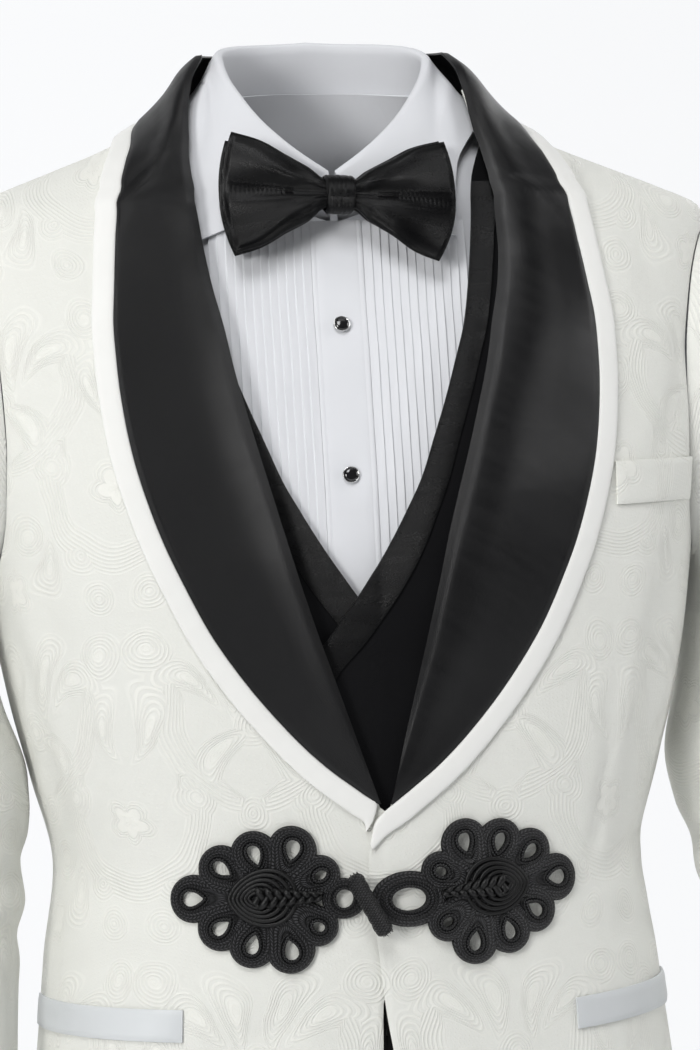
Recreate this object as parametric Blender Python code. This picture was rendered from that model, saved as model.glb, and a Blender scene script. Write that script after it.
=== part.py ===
"""A tuxedo in five garments, worn on nobody: dinner jacket, waistcoat, dress shirt, bow tie and trousers.

Every cloth piece is a thin closed wall. The upper garments share one form, the jacket's outer
surface, and each piece lies at its own lift from it: negative inside, positive outside.

A place on the form is (q, height). q runs round the section: 0 centre front, 1 the wearer's left
side, 2 centre back, -1 the right side. Heights are from the side of the neck, where it is worn.
+X is the wearer's left, the front faces -Y and +Z is up.
"""
import functools
import math

import bmesh
import bpy
import numpy as np
from mathutils.geometry import delaunay_2d_cdt

for old in list(bpy.data.objects):
    bpy.data.objects.remove(old)

MM = 0.001

# ---------------------------------------------------------------- driving dimensions (metres)
SEAM_GAP = 0.3 * MM
JACKET_HEM = -0.765
APEX = -0.402  # where the two lapels meet
ARMPIT = -0.275
SHIRT_ARMPIT = -0.255
SHOULDER_END = -0.052
LAP = 3.0 * MM  # how far the left front stands over the right one
LAP_WIDTH = 0.070
LAPEL_WALL = 2.2 * MM
LAPEL_REST = 0.9 * MM
TUCKED_UNDER = 5.0 * MM  # how far behind the roll line a jacket front ends
TRIM_WIDTH = 0.013
TRIM_WALL = 2.0 * MM
COLLAR_FOLD = 0.043  # height of the jacket collar's fold at the side of the neck
INNER_SHIFT = -0.0115  # shirt and waistcoat sit this far towards the wearer's right
WAISTCOAT_HEM = -0.505
SHIRT_TAIL = -0.535
PLACKET_WIDTH = 0.031
PLEATS = 12
PLEAT_PITCH = 0.0052
PLEAT_RISE = 0.9 * MM
PLEAT_STEP = 0.6 * MM
BIB_END = -0.318
BIB_TOP = -0.060
STUD_WIDTH = 0.010
STUDS = ((-0.1206, 0.6 * MM), (-0.2096, -0.2 * MM))  # height, and rest on the placket
WAISTBAND_TOP = -0.428
WAISTBAND_BOTTOM = -0.468
TROUSER_HEM = -1.490
TROUSER_WALL = 1.5 * MM
SLEEVE_WALL = 1.8 * MM
SHIRT_CUFF_SHOWS = 0.012
FROG_HEIGHT = -0.4495
FROG_REST = 0.7 * MM
FROG_THICKNESS = 3.6 * MM
FROG_LOBE = 0.0142
TOGGLE_LENGTH = 0.039
TOGGLE_RADIUS = 5.4 * MM

# The form, which is the jacket's outer surface: height, half width, depth to the front and to the
# back from the side seam's plane, and squareness of the section (2 is an ellipse).
FORM = (
    (+0.075, 0.066, 0.048, 0.066, 2.00),
    (+0.043, 0.069, 0.050, 0.072, 2.00),
    (+0.026, 0.083, 0.053, 0.0765, 1.90),
    (+0.012, 0.097, 0.056, 0.080, 1.80),
    (+0.000, 0.112, 0.059, 0.083, 1.70),
    (-0.012, 0.134, 0.062, 0.086, 1.65),
    (-0.026, 0.169, 0.066, 0.091, 1.65),
    (-0.040, 0.205, 0.070, 0.096, 1.70),
    (-0.052, 0.230, 0.074, 0.100, 1.80),
    (-0.070, 0.236, 0.080, 0.105, 2.00),
    (-0.100, 0.234, 0.093, 0.112, 2.20),
    (-0.140, 0.229, 0.110, 0.120, 2.30),
    (-0.180, 0.224, 0.121, 0.125, 2.40),
    (-0.225, 0.218, 0.130, 0.125, 2.45),
    (-0.270, 0.212, 0.134, 0.120, 2.45),
    (-0.340, 0.200, 0.132, 0.109, 2.40),
    (-0.385, 0.189, 0.129, 0.102, 2.35),
    (-0.437, 0.177, 0.126, 0.098, 2.30),
    (-0.490, 0.184, 0.125, 0.104, 2.30),
    (-0.545, 0.190, 0.125, 0.112, 2.30),
    (-0.640, 0.200, 0.126, 0.123, 2.30),
    (-0.770, 0.208, 0.129, 0.127, 2.20),
)

# The shawl lapel's lines on the form: height, distance from centre front of the left roll line,
# of the right one, and of the outer edge of the black satin.
LAPEL = (
    (-0.400, 0.0030, 0.0024, 0.0040),
    (-0.375, 0.0090, 0.0111, 0.0360),
    (-0.350, 0.0154, 0.0197, 0.0600),
    (-0.325, 0.0218, 0.0282, 0.0797),
    (-0.300, 0.0282, 0.0367, 0.0960),
    (-0.275, 0.0345, 0.0445, 0.1085),
    (-0.250, 0.0407, 0.0516, 0.1195),
    (-0.225, 0.0480, 0.0582, 0.1280),
    (-0.200, 0.0560, 0.0646, 0.1345),
    (-0.175, 0.0636, 0.0705, 0.1385),
    (-0.150, 0.0710, 0.0758, 0.1407),
    (-0.125, 0.0770, 0.0797, 0.1413),
    (-0.100, 0.0836, 0.0843, 0.1392),
    (-0.075, 0.0866, 0.0872, 0.1366),
    (-0.050, 0.0866, 0.0890, 0.1326),
    (-0.025, 0.0830, 0.0892, 0.1245),
    (-0.0175, 0.0815, 0.0882, 0.1210),
)
# The roll line's last stretch up the side of the neck: height, distance from centre of the left
# one and of the right one.
ROLL_TOP = ((0.000, 0.0785, 0.0855), (0.025, 0.0750, 0.0790), (COLLAR_FOLD, 0.0690, 0.0690))
# The same two lines behind the neck: distance from centre back, fold height, edge height.
COLLAR_BACK = (
    (0.060, 0.0465, +0.0010),
    (0.035, 0.0500, +0.0022),
    (0.000, 0.0520, +0.0030),
)
COLLAR_EDGE_AT_SIDE = +0.0010
# How far the lapel's face stands out across its width, from the roll line to the edge.
LAPEL_ROLL = ((0.0, 2.6 * MM), (0.10, 6.0 * MM), (0.30, 7.4 * MM), (0.65, 5.0 * MM), (1.0, 3.1 * MM))

# The jacket's front edges below the lapels: height, distance from centre of the left front's edge
# (it laps over) and of the right front's edge, each counted towards its own side.
FRONT_EDGE = (
    (-0.402, -0.0020, -0.0030),
    (-0.410, -0.0060, -0.0080),
    (-0.423, -0.0093, -0.0150),
    (-0.437, -0.0102, -0.0180),
    (-0.475, -0.0070, -0.0160),
    (-0.500, -0.0045, -0.0060),
    (-0.515, -0.0030, +0.0030),
    (-0.545, +0.0015, +0.0040),
    (-0.580, +0.0080, +0.0095),
    (-0.635, +0.0200, +0.0215),
    (-0.690, +0.0400, +0.0415),
    (-0.735, +0.0700, +0.0715),
    (JACKET_HEM, +0.1150, +0.1165),
)

# Armholes: height and distance from centre, of the jacket and shirt, and of the waistcoat.
ARMHOLE = (
    (-0.072, 0.2235),
    (-0.105, 0.2120),
    (-0.145, 0.2055),
    (-0.185, 0.2035),
    (-0.225, 0.2045),
    (-0.255, 0.2080),
)
WAISTCOAT_ARMHOLE = (
    (-0.038, 0.168),
    (-0.052, 0.172),
    (-0.072, 0.176),
    (-0.105, 0.178),
    (-0.145, 0.178),
    (-0.185, 0.180),
    (-0.225, 0.186),
    (-0.255, 0.196),
)
# The waistcoat's neckline and edge: height, distance from its own centre.
WAISTCOAT_EDGE = (
    (-0.520, -0.0407),
    (-0.335, -0.0407),
    (-0.305, -0.0182),
    (-0.281, +0.0000),
    (-0.255, +0.0172),
    (-0.232, +0.0305),
    (-0.215, +0.0395),
    (-0.1915, 0.0487),
    (-0.1688, 0.0575),
    (-0.1459, 0.0655),
    (-0.1226, 0.0735),
    (-0.093, 0.0802),
    (-0.063, 0.0855),
    (-0.0387, 0.0890),
    (-0.022, 0.0950),
    (-0.006, 0.1040),
)
WAISTCOAT_BAND = 0.0145
# The shirt's neckline: height, distance from its centre.
SHIRT_NECK = (
    (-0.072, 0.0000),
    (-0.064, 0.0220),
    (-0.052, 0.0400),
    (-0.038, 0.0530),
    (-0.022, 0.0630),
    (-0.006, 0.0700),
    (+0.010, 0.0730),
    (+0.030, 0.0740),
)

# Jacket sleeves: height, inner edge's distance from centre on the left arm and on the right arm,
# width, centre line's place fore and aft, half depth, fold (how far the cloth swells there).
SLEEVE = (
    (-0.300, 0.2145, 0.2135, 0.106, +0.001, 0.066, 0.0),
    (-0.340, 0.2085, 0.2055, 0.107, +0.000, 0.063, 0.0),
    (-0.385, 0.2000, 0.1925, 0.106, -0.001, 0.059, 0.0),
    (-0.415, 0.2065, 0.1945, 0.103, -0.004, 0.056, 2.2 * MM),
    (-0.436, 0.2115, 0.1965, 0.101, -0.006, 0.054, -1.8 * MM),
    (-0.457, 0.2165, 0.1985, 0.100, -0.009, 0.053, 2.0 * MM),
    (-0.480, 0.2215, 0.2000, 0.099, -0.012, 0.051, -1.0 * MM),
    (-0.530, 0.2340, 0.2035, 0.096, -0.019, 0.049, 0.0),
    (-0.590, 0.2480, 0.2090, 0.091, -0.030, 0.046, 0.0),
    (-0.650, 0.2620, 0.2130, 0.087, -0.043, 0.044, 0.0),
)
# Trouser legs, one side: height, centre's distance, half width, centre fore and aft, half depth,
# squareness.
TROUSER = (
    (-0.4685, 0.000, 0.1640, -0.0110, 0.1010, 2.1),
    (-0.5100, 0.004, 0.1680, -0.0090, 0.1040, 2.1),
    (-0.5600, 0.014, 0.1640, -0.0050, 0.1110, 2.1),
    (-0.6200, 0.036, 0.1480, -0.0030, 0.1120, 2.0),
    (-0.6700, 0.062, 0.1250, -0.0020, 0.1080, 2.0),
    (-0.7050, 0.084, 0.1040, 0.0000, 0.1040, 2.0),
    (-0.7300, 0.0945, 0.0925, 0.0020, 0.1000, 2.0),
    (-0.8000, 0.0980, 0.0895, 0.0020, 0.0960, 2.0),
    (-0.9800, 0.1030, 0.0770, -0.0060, 0.0880, 1.8),
    (-1.1800, 0.1055, 0.0680, 0.0000, 0.0830, 1.7),
    (-1.4200, 0.1080, 0.0630, 0.0080, 0.0800, 1.7),
    (TROUSER_HEM, 0.1080, 0.0640, 0.0060, 0.0830, 1.7),
)

# Row heights that neighbouring panels share, so that their seams run side by side.
YOKE_ROWS = (-0.275, -0.255, -0.225, -0.185, -0.145, -0.105, -0.072, -0.052)
TOP_ROWS = (-0.038, -0.030, -0.022, -0.014, -0.006, 0.004, 0.019, 0.034)
LOWER_ROWS = (
    JACKET_HEM, -0.735, -0.690, -0.635, -0.580, -0.545, -0.515, -0.475, -0.437, -0.402, -0.360, -0.318,
)
SKIPPED_BEHIND = (-0.735, -0.545, -0.475, -0.318)

# Lifts from the form (inner face, outer face), over the chest and below, and on the shoulders.
LAYERS = {
    "jacket": ((-1.8, 0.0), (-1.8, 0.0)),
    "waistcoat_left": ((-5.6, -4.3), (-5.8, -4.6)),
    "waistcoat_right": ((-9.0, -7.7), (-5.8, -4.6)),
    "waistcoat_back": ((-7.8, -6.5), (-5.8, -4.6)),
    "band_left": ((-3.8, -2.9), (-4.0, -3.1)),
    "band_right": ((-7.2, -6.4), (-4.0, -3.1)),
    "shirt": ((-15.0, -13.8), (-10.2, -9.0)),
    "bib": ((-13.3, -12.4), (-8.5, -7.6)),
}
SHOULDER_LIFT_FROM = -0.170
SHOULDER_LIFT_TO = -0.060


# ---------------------------------------------------------------- curves and the form
class Curve:
    """A smooth curve through (place, value) pairs that never overshoots them."""

    def __init__(self, places, values):
        order = np.argsort(places)
        self.place = np.array(places, float)[order]
        self.value = np.array(values, float)[order]
        self.step = np.diff(self.place)
        rise = np.diff(self.value) / self.step
        self.slope = np.zeros(len(self.place))
        self.slope[0] = rise[0]
        self.slope[-1] = rise[-1]
        for i in range(1, len(rise)):
            if rise[i - 1] * rise[i] > 0:
                near = 2 * self.step[i] + self.step[i - 1]
                far = self.step[i] + 2 * self.step[i - 1]
                self.slope[i] = (near + far) / (near / rise[i - 1] + far / rise[i])

    def __call__(self, at):
        i = int(np.clip(np.searchsorted(self.place, at) - 1, 0, len(self.step) - 1))
        step = self.step[i]
        t = min(max((at - self.place[i]) / step, 0.0), 1.0)
        start = (2 * t**3 - 3 * t**2 + 1) * self.value[i] + (t**3 - 2 * t**2 + t) * step * self.slope[i]
        end = (3 * t**2 - 2 * t**3) * self.value[i + 1] + (t**3 - t**2) * step * self.slope[i + 1]
        return float(start + end)


def columns(table):
    """A Curve for each column of a table after its first."""
    rows = np.array(table, float)
    return [Curve(rows[:, 0], rows[:, k]) for k in range(1, rows.shape[1])]


def ease(t):
    """Smooth step from 0 to 1."""
    t = min(max(t, 0.0), 1.0)
    return t * t * (3 - 2 * t)


FORM_CURVES = columns(FORM)
TURNS = np.linspace(0, math.pi / 2, 240)


@functools.lru_cache(maxsize=None)
def section(height):
    """Half width, front depth, back depth and squareness of the form at a height."""
    return tuple(curve(height) for curve in FORM_CURVES)


@functools.lru_cache(maxsize=None)
def quarter(height, behind):
    """Share of a quarter's length at each turn from the centre line to the side, and that length."""
    half_width, front, back, square = section(height)
    x = half_width * np.sin(TURNS) ** (2 / square)
    y = (back if behind else front) * np.cos(TURNS) ** (2 / square)
    run = np.concatenate(([0.0], np.cumsum(np.hypot(np.diff(x), np.diff(y)))))
    return run / run[-1], float(run[-1])


def ring_point(q, height):
    """The point of the form at a place (q, height)."""
    half_width, front, back, square = section(height)
    q = (q + 2) % 4 - 2
    side = math.copysign(1, q)
    q = abs(q)
    behind = q > 1
    turn = np.interp(2 - q if behind else q, quarter(height, behind)[0], TURNS)
    depth = back if behind else -front
    x = half_width * math.sin(turn) ** (2 / square)
    y = depth * max(math.cos(turn), 0.0) ** (2 / square)
    return np.array((side * x, y, height))


def on_form(q, height, lift=0.0):
    """The point at a place, moved out from the form by lift."""
    across = ring_point(q + 0.012, height) - ring_point(q - 0.012, height)
    up = ring_point(q, height + 0.0015) - ring_point(q, height - 0.0015)
    normal = np.cross(across, up)
    return ring_point(q, height) + normal * (lift / np.linalg.norm(normal))


def q_at(x, height, behind=False):
    """The q of the point at distance x from the centre plane, in front or behind."""
    half_width, _, _, square = section(height)
    turn = math.asin(min(abs(x) / half_width, 1.0) ** (square / 2))
    share = float(np.interp(turn, TURNS, quarter(height, behind)[0]))
    return math.copysign(2 - share if behind else share, x)


def q_step(length, height):
    """The change of q for a length along the section in front."""
    return length / quarter(height, False)[1]


def walk(q, height, move):
    """The place reached from a place by a small move in space, kept on the form."""
    goal = ring_point(q, height) + move
    for _ in range(4):
        here = ring_point(q, height)
        along_q = (ring_point(q + 0.004, height) - ring_point(q - 0.004, height)) / 0.008
        along_h = (ring_point(q, height + 0.001) - ring_point(q, height - 0.001)) / 0.002
        change = np.linalg.lstsq(np.stack((along_q, along_h), 1), goal - here, rcond=None)[0]
        q += float(np.clip(change[0], -0.1, 0.1))
        height += float(np.clip(change[1], -0.02, 0.02))
    return q, height


def layer(name, height):
    """Inner and outer lift of a layer at a height, in metres."""
    low, high = LAYERS[name]
    share = ease((height - SHOULDER_LIFT_FROM) / (SHOULDER_LIFT_TO - SHOULDER_LIFT_FROM))
    return tuple((a + (b - a) * share) * MM for a, b in zip(low, high))


def lap_raise(x, height):
    """How far the left front's layers stand out where it laps over the right front."""
    return LAP * ease((LAP_WIDTH - x) / LAP_WIDTH) * ease((-0.35 - height) / 0.04)


# ---------------------------------------------------------------- meshes
def finish(name, colour, roughness, metallic=0.0):
    material = bpy.data.materials.new(name)
    material.use_nodes = True
    shader = material.node_tree.nodes["Principled BSDF"]
    shader.inputs["Base Color"].default_value = (*colour, 1.0)
    shader.inputs["Roughness"].default_value = roughness
    shader.inputs["Metallic"].default_value = metallic
    material.diffuse_color = (*colour, 1.0)
    return material


def body(name, material, points, faces):
    """One closed mesh object with its faces turned outwards."""
    mesh = bpy.data.meshes.new(name)
    mesh.from_pydata([tuple(p) for p in points], [], faces)
    work = bmesh.new()
    work.from_mesh(mesh)
    bmesh.ops.recalc_face_normals(work, faces=work.faces)
    work.to_mesh(mesh)
    work.free()
    mesh.shade_smooth()
    mesh.set_sharp_from_angle(angle=math.radians(50))
    own = material.copy()
    own.name = name
    mesh.materials.append(own)
    thing = bpy.data.objects.new(name, mesh)
    bpy.context.scene.collection.objects.link(thing)
    return thing


def shell(name, material, inner, outer, closed=False):
    """A wall between two grids of points; closed joins its last column to its first."""
    rows = len(outer)
    count = len(outer[0])
    points = [p for row in outer for p in row] + [p for row in inner for p in row]
    back = rows * count
    faces = []

    def quad(a, b, c, d):
        faces.append((a, b, c))
        faces.append((a, c, d))

    for i in range(rows - 1):
        for j in range(count if closed else count - 1):
            k = (j + 1) % count
            a, b, c, d = i * count + j, i * count + k, (i + 1) * count + k, (i + 1) * count + j
            quad(a, b, c, d)
            faces.append((back + a, back + c, back + b))
            faces.append((back + a, back + d, back + c))
    for j in range(count if closed else count - 1):
        k = (j + 1) % count
        last = (rows - 1) * count
        quad(j, back + j, back + k, k)
        quad(last + j, last + k, back + last + k, back + last + j)
    if not closed:
        for i in range(rows - 1):
            low, high = i * count, (i + 1) * count
            quad(low, high, back + high, back + low)
            low, high = low + count - 1, high + count - 1
            quad(low, back + low, back + high, high)
    return body(name, material, points, faces)


def cloth(name, material, grid, lifts, side=1):
    """A wall of cloth on the form: grid holds rows of places, lifts gives a place's two lifts."""
    inner = []
    outer = []
    for row in grid:
        pairs = [(q, height, lifts(q, height)) for q, height in row]
        inner.append([on_form(side * q, height, low) for q, height, (low, _) in pairs])
        outer.append([on_form(side * q, height, high) for q, height, (_, high) in pairs])
    return shell(name, material, inner, outer)


def spread(first, last, height, count):
    """A row of places from one q to another, short of each by half a seam's gap."""
    gap = q_step(SEAM_GAP / 2 + 0.1 * MM, height)
    places = np.linspace(first + gap, last - gap, count + 1)
    return [(float(q), height) for q in places]


def solid(name, material, rings):
    """A closed body through rings of points, with a flat fan over each end."""
    count = len(rings[0])
    points = [p for ring in rings for p in ring]
    faces = []
    for i in range(len(rings) - 1):
        for j in range(count):
            k = (j + 1) % count
            a, b, c, d = i * count + j, i * count + k, (i + 1) * count + k, (i + 1) * count + j
            faces.append((a, b, c))
            faces.append((a, c, d))
    for ring in (0, len(rings) - 1):
        middle = len(points)
        points.append(np.mean([points[ring * count + j] for j in range(count)], axis=0))
        for j in range(count):
            faces.append((middle, ring * count + j, ring * count + (j + 1) % count))
    return body(name, material, points, faces)


def trail(points, count):
    """Places at even distances along a smooth line through (q, height) control points."""
    run = [0.0]
    for (q0, h0), (q1, h1) in zip(points, points[1:]):
        run.append(run[-1] + float(np.linalg.norm(ring_point(q1, h1) - ring_point(q0, h0))))
    q_curve = Curve(run, [p[0] for p in points])
    height_curve = Curve(run, [p[1] for p in points])
    fine = [(q_curve(s), height_curve(s)) for s in np.linspace(0, run[-1], 160)]
    spots = np.array([ring_point(q, height) for q, height in fine])
    length = np.concatenate(([0.0], np.cumsum(np.linalg.norm(np.diff(spots, axis=0), axis=1))))
    even = np.linspace(0, length[-1], count + 1)
    return [tuple(np.interp(s, length, [f[k] for f in fine]) for k in (0, 1)) for s in even]


# ---------------------------------------------------------------- finishes
IVORY = finish("ivory_brocade", (0.86, 0.86, 0.80), 0.62)
SATIN_BLACK = finish("black_satin", (0.012, 0.012, 0.014), 0.34)
SATIN_WHITE = finish("white_satin", (0.88, 0.88, 0.85), 0.38)
WAISTCOAT_BLACK = finish("black_wool", (0.014, 0.014, 0.015), 0.62)
SHIRT_WHITE = finish("white_cotton", (0.90, 0.91, 0.94), 0.70)
CORD_BLACK = finish("black_braid", (0.010, 0.010, 0.011), 0.50)
TROUSER_BLACK = finish("black_trouser_wool", (0.013, 0.013, 0.014), 0.66)
ENAMEL_BLACK = finish("black_enamel", (0.010, 0.010, 0.011), 0.12)
SIDES = (("left", 1), ("right", -1))


# ---------------------------------------------------------------- jacket
ROLL_LEFT, ROLL_RIGHT, LAPEL_EDGE = columns(LAPEL)
EDGE_LEFT, EDGE_RIGHT = columns(FRONT_EDGE)
ARMHOLE_X = columns(ARMHOLE)[0]
COLLAR_LEFT, COLLAR_RIGHT = columns((LAPEL[-1][:3],) + ROLL_TOP)


def front_edge_q(side, height):
    """Where a jacket front begins, from centre front."""
    if height < APEX:
        return q_at((EDGE_LEFT if side > 0 else EDGE_RIGHT)(height), height)
    if height > LAPEL[-1][0]:
        x = (COLLAR_LEFT if side > 0 else COLLAR_RIGHT)(height)
    else:
        x = (ROLL_LEFT if side > 0 else ROLL_RIGHT)(height)
    start = min(TUCKED_UNDER, max(0.0, (height - APEX) * 0.1))
    return q_at(x + start, height)


def armhole_q(height, behind=False, armpit=ARMPIT):
    """Where the armhole cuts the form, or the side seam below and above it."""
    if armpit < height < SHOULDER_END:
        return q_at(ARMHOLE_X(height), height, behind)
    return 1.0


def jacket_lifts(_, height):
    return layer("jacket", height)


def jacket_front(side_name, side):
    heights = LOWER_ROWS + YOKE_ROWS + TOP_ROWS
    grid = [spread(front_edge_q(side, h), armhole_q(h), h, 9) for h in heights]

    def lifts(q, height):
        low, high = layer("jacket", height)
        if side > 0:
            extra = lap_raise(ring_point(q, height)[0], height)
            return low + extra, high + extra
        return low, high

    cloth("jacket_front_" + side_name, IVORY, grid, lifts, side)


def jacket_back(side_name, side):
    heights = [h for h in LOWER_ROWS + YOKE_ROWS + TOP_ROWS if h not in SKIPPED_BEHIND]
    grid = [spread(armhole_q(h, True), 2.0, h, 8) for h in heights]
    cloth("jacket_back_" + side_name, IVORY, grid, jacket_lifts, side)


def lapel_lines(side):
    """Even places along the roll line and along the black edge, from the apex to centre back."""
    roll_at = ROLL_LEFT if side > 0 else ROLL_RIGHT
    top_at = COLLAR_LEFT if side > 0 else COLLAR_RIGHT
    heights = list(np.linspace(LAPEL[0][0], LAPEL[-1][0], 40))
    roll = [(q_at(roll_at(h), h), h) for h in heights]
    roll += [(q_at(top_at(row[0]), row[0]), row[0]) for row in ROLL_TOP[:-1]]
    roll.append((1.0, COLLAR_FOLD))
    edge = [(q_at(LAPEL_EDGE(h), h), h) for h in heights] + [(1.0, COLLAR_EDGE_AT_SIDE)]
    roll_back = [(1.0, COLLAR_FOLD)] + [(q_at(x, up, True), up) for x, up, _ in COLLAR_BACK]
    edge_back = [(1.0, COLLAR_EDGE_AT_SIDE)] + [(q_at(x, low, True), low) for x, _, low in COLLAR_BACK]
    front = list(zip(trail(roll, 17), trail(edge, 17)))
    behind = list(zip(trail(roll_back, 5), trail(edge_back, 5)))
    return front + behind[1:]


def lapel_raise(side, q, height):
    """How much further out the lapels lie: over the lap, and over the shoulder's bend."""
    shoulder = 1.8 * MM * ease((height + 0.082) / 0.037)
    return shoulder + (lap_raise(ring_point(q, height)[0], height) if side > 0 else 0.0)


def centre_gap(lines):
    """The lines with their last places held off centre back by half a seam."""
    gap = q_step(SEAM_GAP / 2 + 0.1 * MM, 0.0)
    return lines[:-1] + [tuple((2.0 - gap, height) for _, height in lines[-1])]


def lapel(side_name, side):
    rise = columns(LAPEL_ROLL)[0]
    shares = [share for share, _ in LAPEL_ROLL]
    lines = centre_gap(lapel_lines(side))
    inner = []
    outer = []
    for station, ((q0, h0), (q1, h1)) in enumerate(lines):
        swell = ease(station / 4)
        spots = [(q0 + (q1 - q0) * t, h0 + (h1 - h0) * t, t) for t in shares]
        low_row = []
        high_row = []
        for q, height, t in spots:
            base = LAPEL_ROLL[-1][1]
            lift = base + (rise(t) - base) * swell + lapel_raise(side, q, height)
            low_row.append(on_form(side * q, height, lift - LAPEL_WALL))
            high_row.append(on_form(side * q, height, lift))
        inner.append(low_row)
        outer.append(high_row)
    shell("lapel_" + side_name, SATIN_BLACK, inner, outer)


def trim_places(side):
    """Pairs of places along the white band, on its inner and its outer edge."""
    lines = [pair[1] for pair in centre_gap(lapel_lines(side))]
    pairs = []
    for k, (q, height) in enumerate(lines):
        before = lines[max(k - 1, 0)]
        after = lines[min(k + 1, len(lines) - 1)]
        along = ring_point(*after) - ring_point(*before)
        across = on_form(q, height, 1.0) - ring_point(q, height)
        out = np.cross(along, across)
        out /= np.linalg.norm(out)
        near = walk(q, height, out * SEAM_GAP)
        far = walk(q, height, out * TRIM_WIDTH)
        if k == len(lines) - 1:
            near, far = (q, near[1]), (q, far[1])
        pairs.append((near, far))
    left_tip = ((-0.0094, -0.4232, -0.0078, -0.4255), (-0.0060, -0.4105, +0.0005, -0.4175))
    right_tip = ((+0.0058, -0.4075, +0.0112, -0.4155), (+0.0048, -0.4040, +0.0112, -0.4128))
    tip = [
        ((q_at(x0, h0), h0), (q_at(x1, h1), h1)) for x0, h0, x1, h1 in (left_tip if side > 0 else right_tip)
    ]
    return tip + pairs


def lapel_trim(side_name, side):
    inner = []
    outer = []
    for pair in trim_places(side):
        lifts = [LAPEL_REST + lapel_raise(side, *place) for place in pair]
        inner.append([on_form(side * q, h, lift) for (q, h), lift in zip(pair, lifts)])
        outer.append([on_form(side * q, h, lift + TRIM_WALL) for (q, h), lift in zip(pair, lifts)])
    shell("lapel_trim_" + side_name, SATIN_WHITE, inner, outer)


def welt(name, material, side, corners, count):
    """A pocket welt on the jacket: corners give its start and end, each as x and two heights."""
    (x0, bottom0, top0), (x1, bottom1, top1) = corners
    start, end = q_at(x0, top0), q_at(x1, top1)
    inner = []
    outer = []
    for share in (0.0, 0.5, 1.0):
        low_row = []
        high_row = []
        for k in range(count + 1):
            t = k / count
            q = start + (end - start) * t
            bottom = bottom0 + (bottom1 - bottom0) * t
            top = top0 + (top1 - top0) * t
            height = bottom + (top - bottom) * share
            crown = 0.3 * MM * math.sin(math.pi * share)
            low_row.append(on_form(side * q, height, LAPEL_REST))
            high_row.append(on_form(side * q, height, LAPEL_REST + 1.4 * MM + crown))
        inner.append(low_row)
        outer.append(high_row)
    shell(name, material, inner, outer)


def armhole_loop(heights, armpit, lifts, face):
    """Round the left armhole from the shoulder, down the front and up the back; face 0 is inside."""
    inset = SEAM_GAP + (0.2 * MM if armpit == ARMPIT else 0.6 * MM)
    places = [(1.0, SHOULDER_END - 2 * inset)]
    places += [(q_at(ARMHOLE_X(h), h) + q_step(inset, h), h) for h in reversed(heights)]
    places.append((1.0, armpit + inset))
    places += [(q_at(ARMHOLE_X(h), h, True) - q_step(inset, h), h) for h in heights]
    loop = [on_form(q, h, lifts(q, h)[face]) for q, h in places]
    loop[len(heights) + 1][0] += 0.6 * MM
    return np.array(loop)


def sleeve_ring(curves, side, height, slim, count, extra=0.0):
    """A level ring of the sleeve on the wearer's left, starting at its outer side."""
    inner_left, inner_right, width, middle, depth, fold = (curve(height) for curve in curves)
    edge = (inner_left if side > 0 else inner_right) + slim
    half = width / 2 - slim
    ring = []
    for j in range(count):
        turn = 2 * math.pi * j / count
        swell = 1 + (fold * (0.35 + 0.65 * math.sin(turn / 2 + 0.6) ** 2) + extra) / half
        x = edge + half + half * math.cos(turn) * swell
        y = middle - (depth - slim) * math.sin(turn) * swell
        ring.append((x, y, height))
    return np.array(ring)


def sleeve(name, material, side, heights, loop_rows, armpit, slim, wall, lifts):
    """A sleeve from the armhole to the cuff; the cap bends over from the shoulder."""
    curves = columns(SLEEVE)
    start_inside = armhole_loop(loop_rows, armpit, lifts, 0)
    start = armhole_loop(loop_rows, armpit, lifts, 1)
    count = len(start)
    level = sleeve_ring(curves, side, SLEEVE[0][0], slim, count)
    rings = [start]
    for t in (0.28, 0.65):
        ring = []
        for a, c in zip(start, level):
            bend = np.array((0.8 * c[0] + 0.2 * a[0], 0.6 * c[1] + 0.4 * a[1], a[2] - 0.004))
            ring.append((1 - t) ** 2 * a + 2 * t * (1 - t) * bend + t * t * c)
        rings.append(np.array(ring))
    rings += [sleeve_ring(curves, side, h, slim, count) for h in heights]
    insides = []
    for i, ring in enumerate(rings):
        middle = ring.mean(axis=0)
        inside = []
        for j in range(count):
            around = ring[(j + 1) % count] - ring[j - 1]
            ahead = rings[min(i + 1, len(rings) - 1)][j] - rings[max(i - 1, 0)][j]
            normal = np.cross(around, ahead)
            normal /= np.linalg.norm(normal)
            if np.dot(normal, ring[j] - middle) < 0:
                normal = -normal
            inside.append(ring[j] - normal * wall)
        insides.append(np.array(inside))
    insides[0] = start_inside
    mirror = np.array((side, 1, 1))
    shell(name, material, [r * mirror for r in insides], [r * mirror for r in rings], closed=True)


# ---------------------------------------------------------------- waistcoat
WAISTCOAT_EDGE_X = columns(WAISTCOAT_EDGE)[0]
WAISTCOAT_ARM_X = columns(WAISTCOAT_ARMHOLE)[0]
WAISTCOAT_ROWS = (
    WAISTCOAT_HEM, -0.437, -0.360, -0.335, -0.298, -0.275, -0.255, -0.225, -0.185, -0.145,
    -0.105, -0.072, -0.052, -0.038, -0.022, -0.006,
)


def waistcoat_arm_q(height, behind=False):
    if ARMPIT < height < -0.03:
        return q_at(WAISTCOAT_ARM_X(height), height, behind)
    return 1.0


def waistcoat_edge_q(side, height, inward=0.0):
    """Where a waistcoat front begins, counted towards its own side."""
    return q_at(WAISTCOAT_EDGE_X(height) + inward + side * INNER_SHIFT, height)


def lifts_of(name, q, height):
    """A layer's two lifts, which depend on the height only."""
    return layer(name, height)


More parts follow.
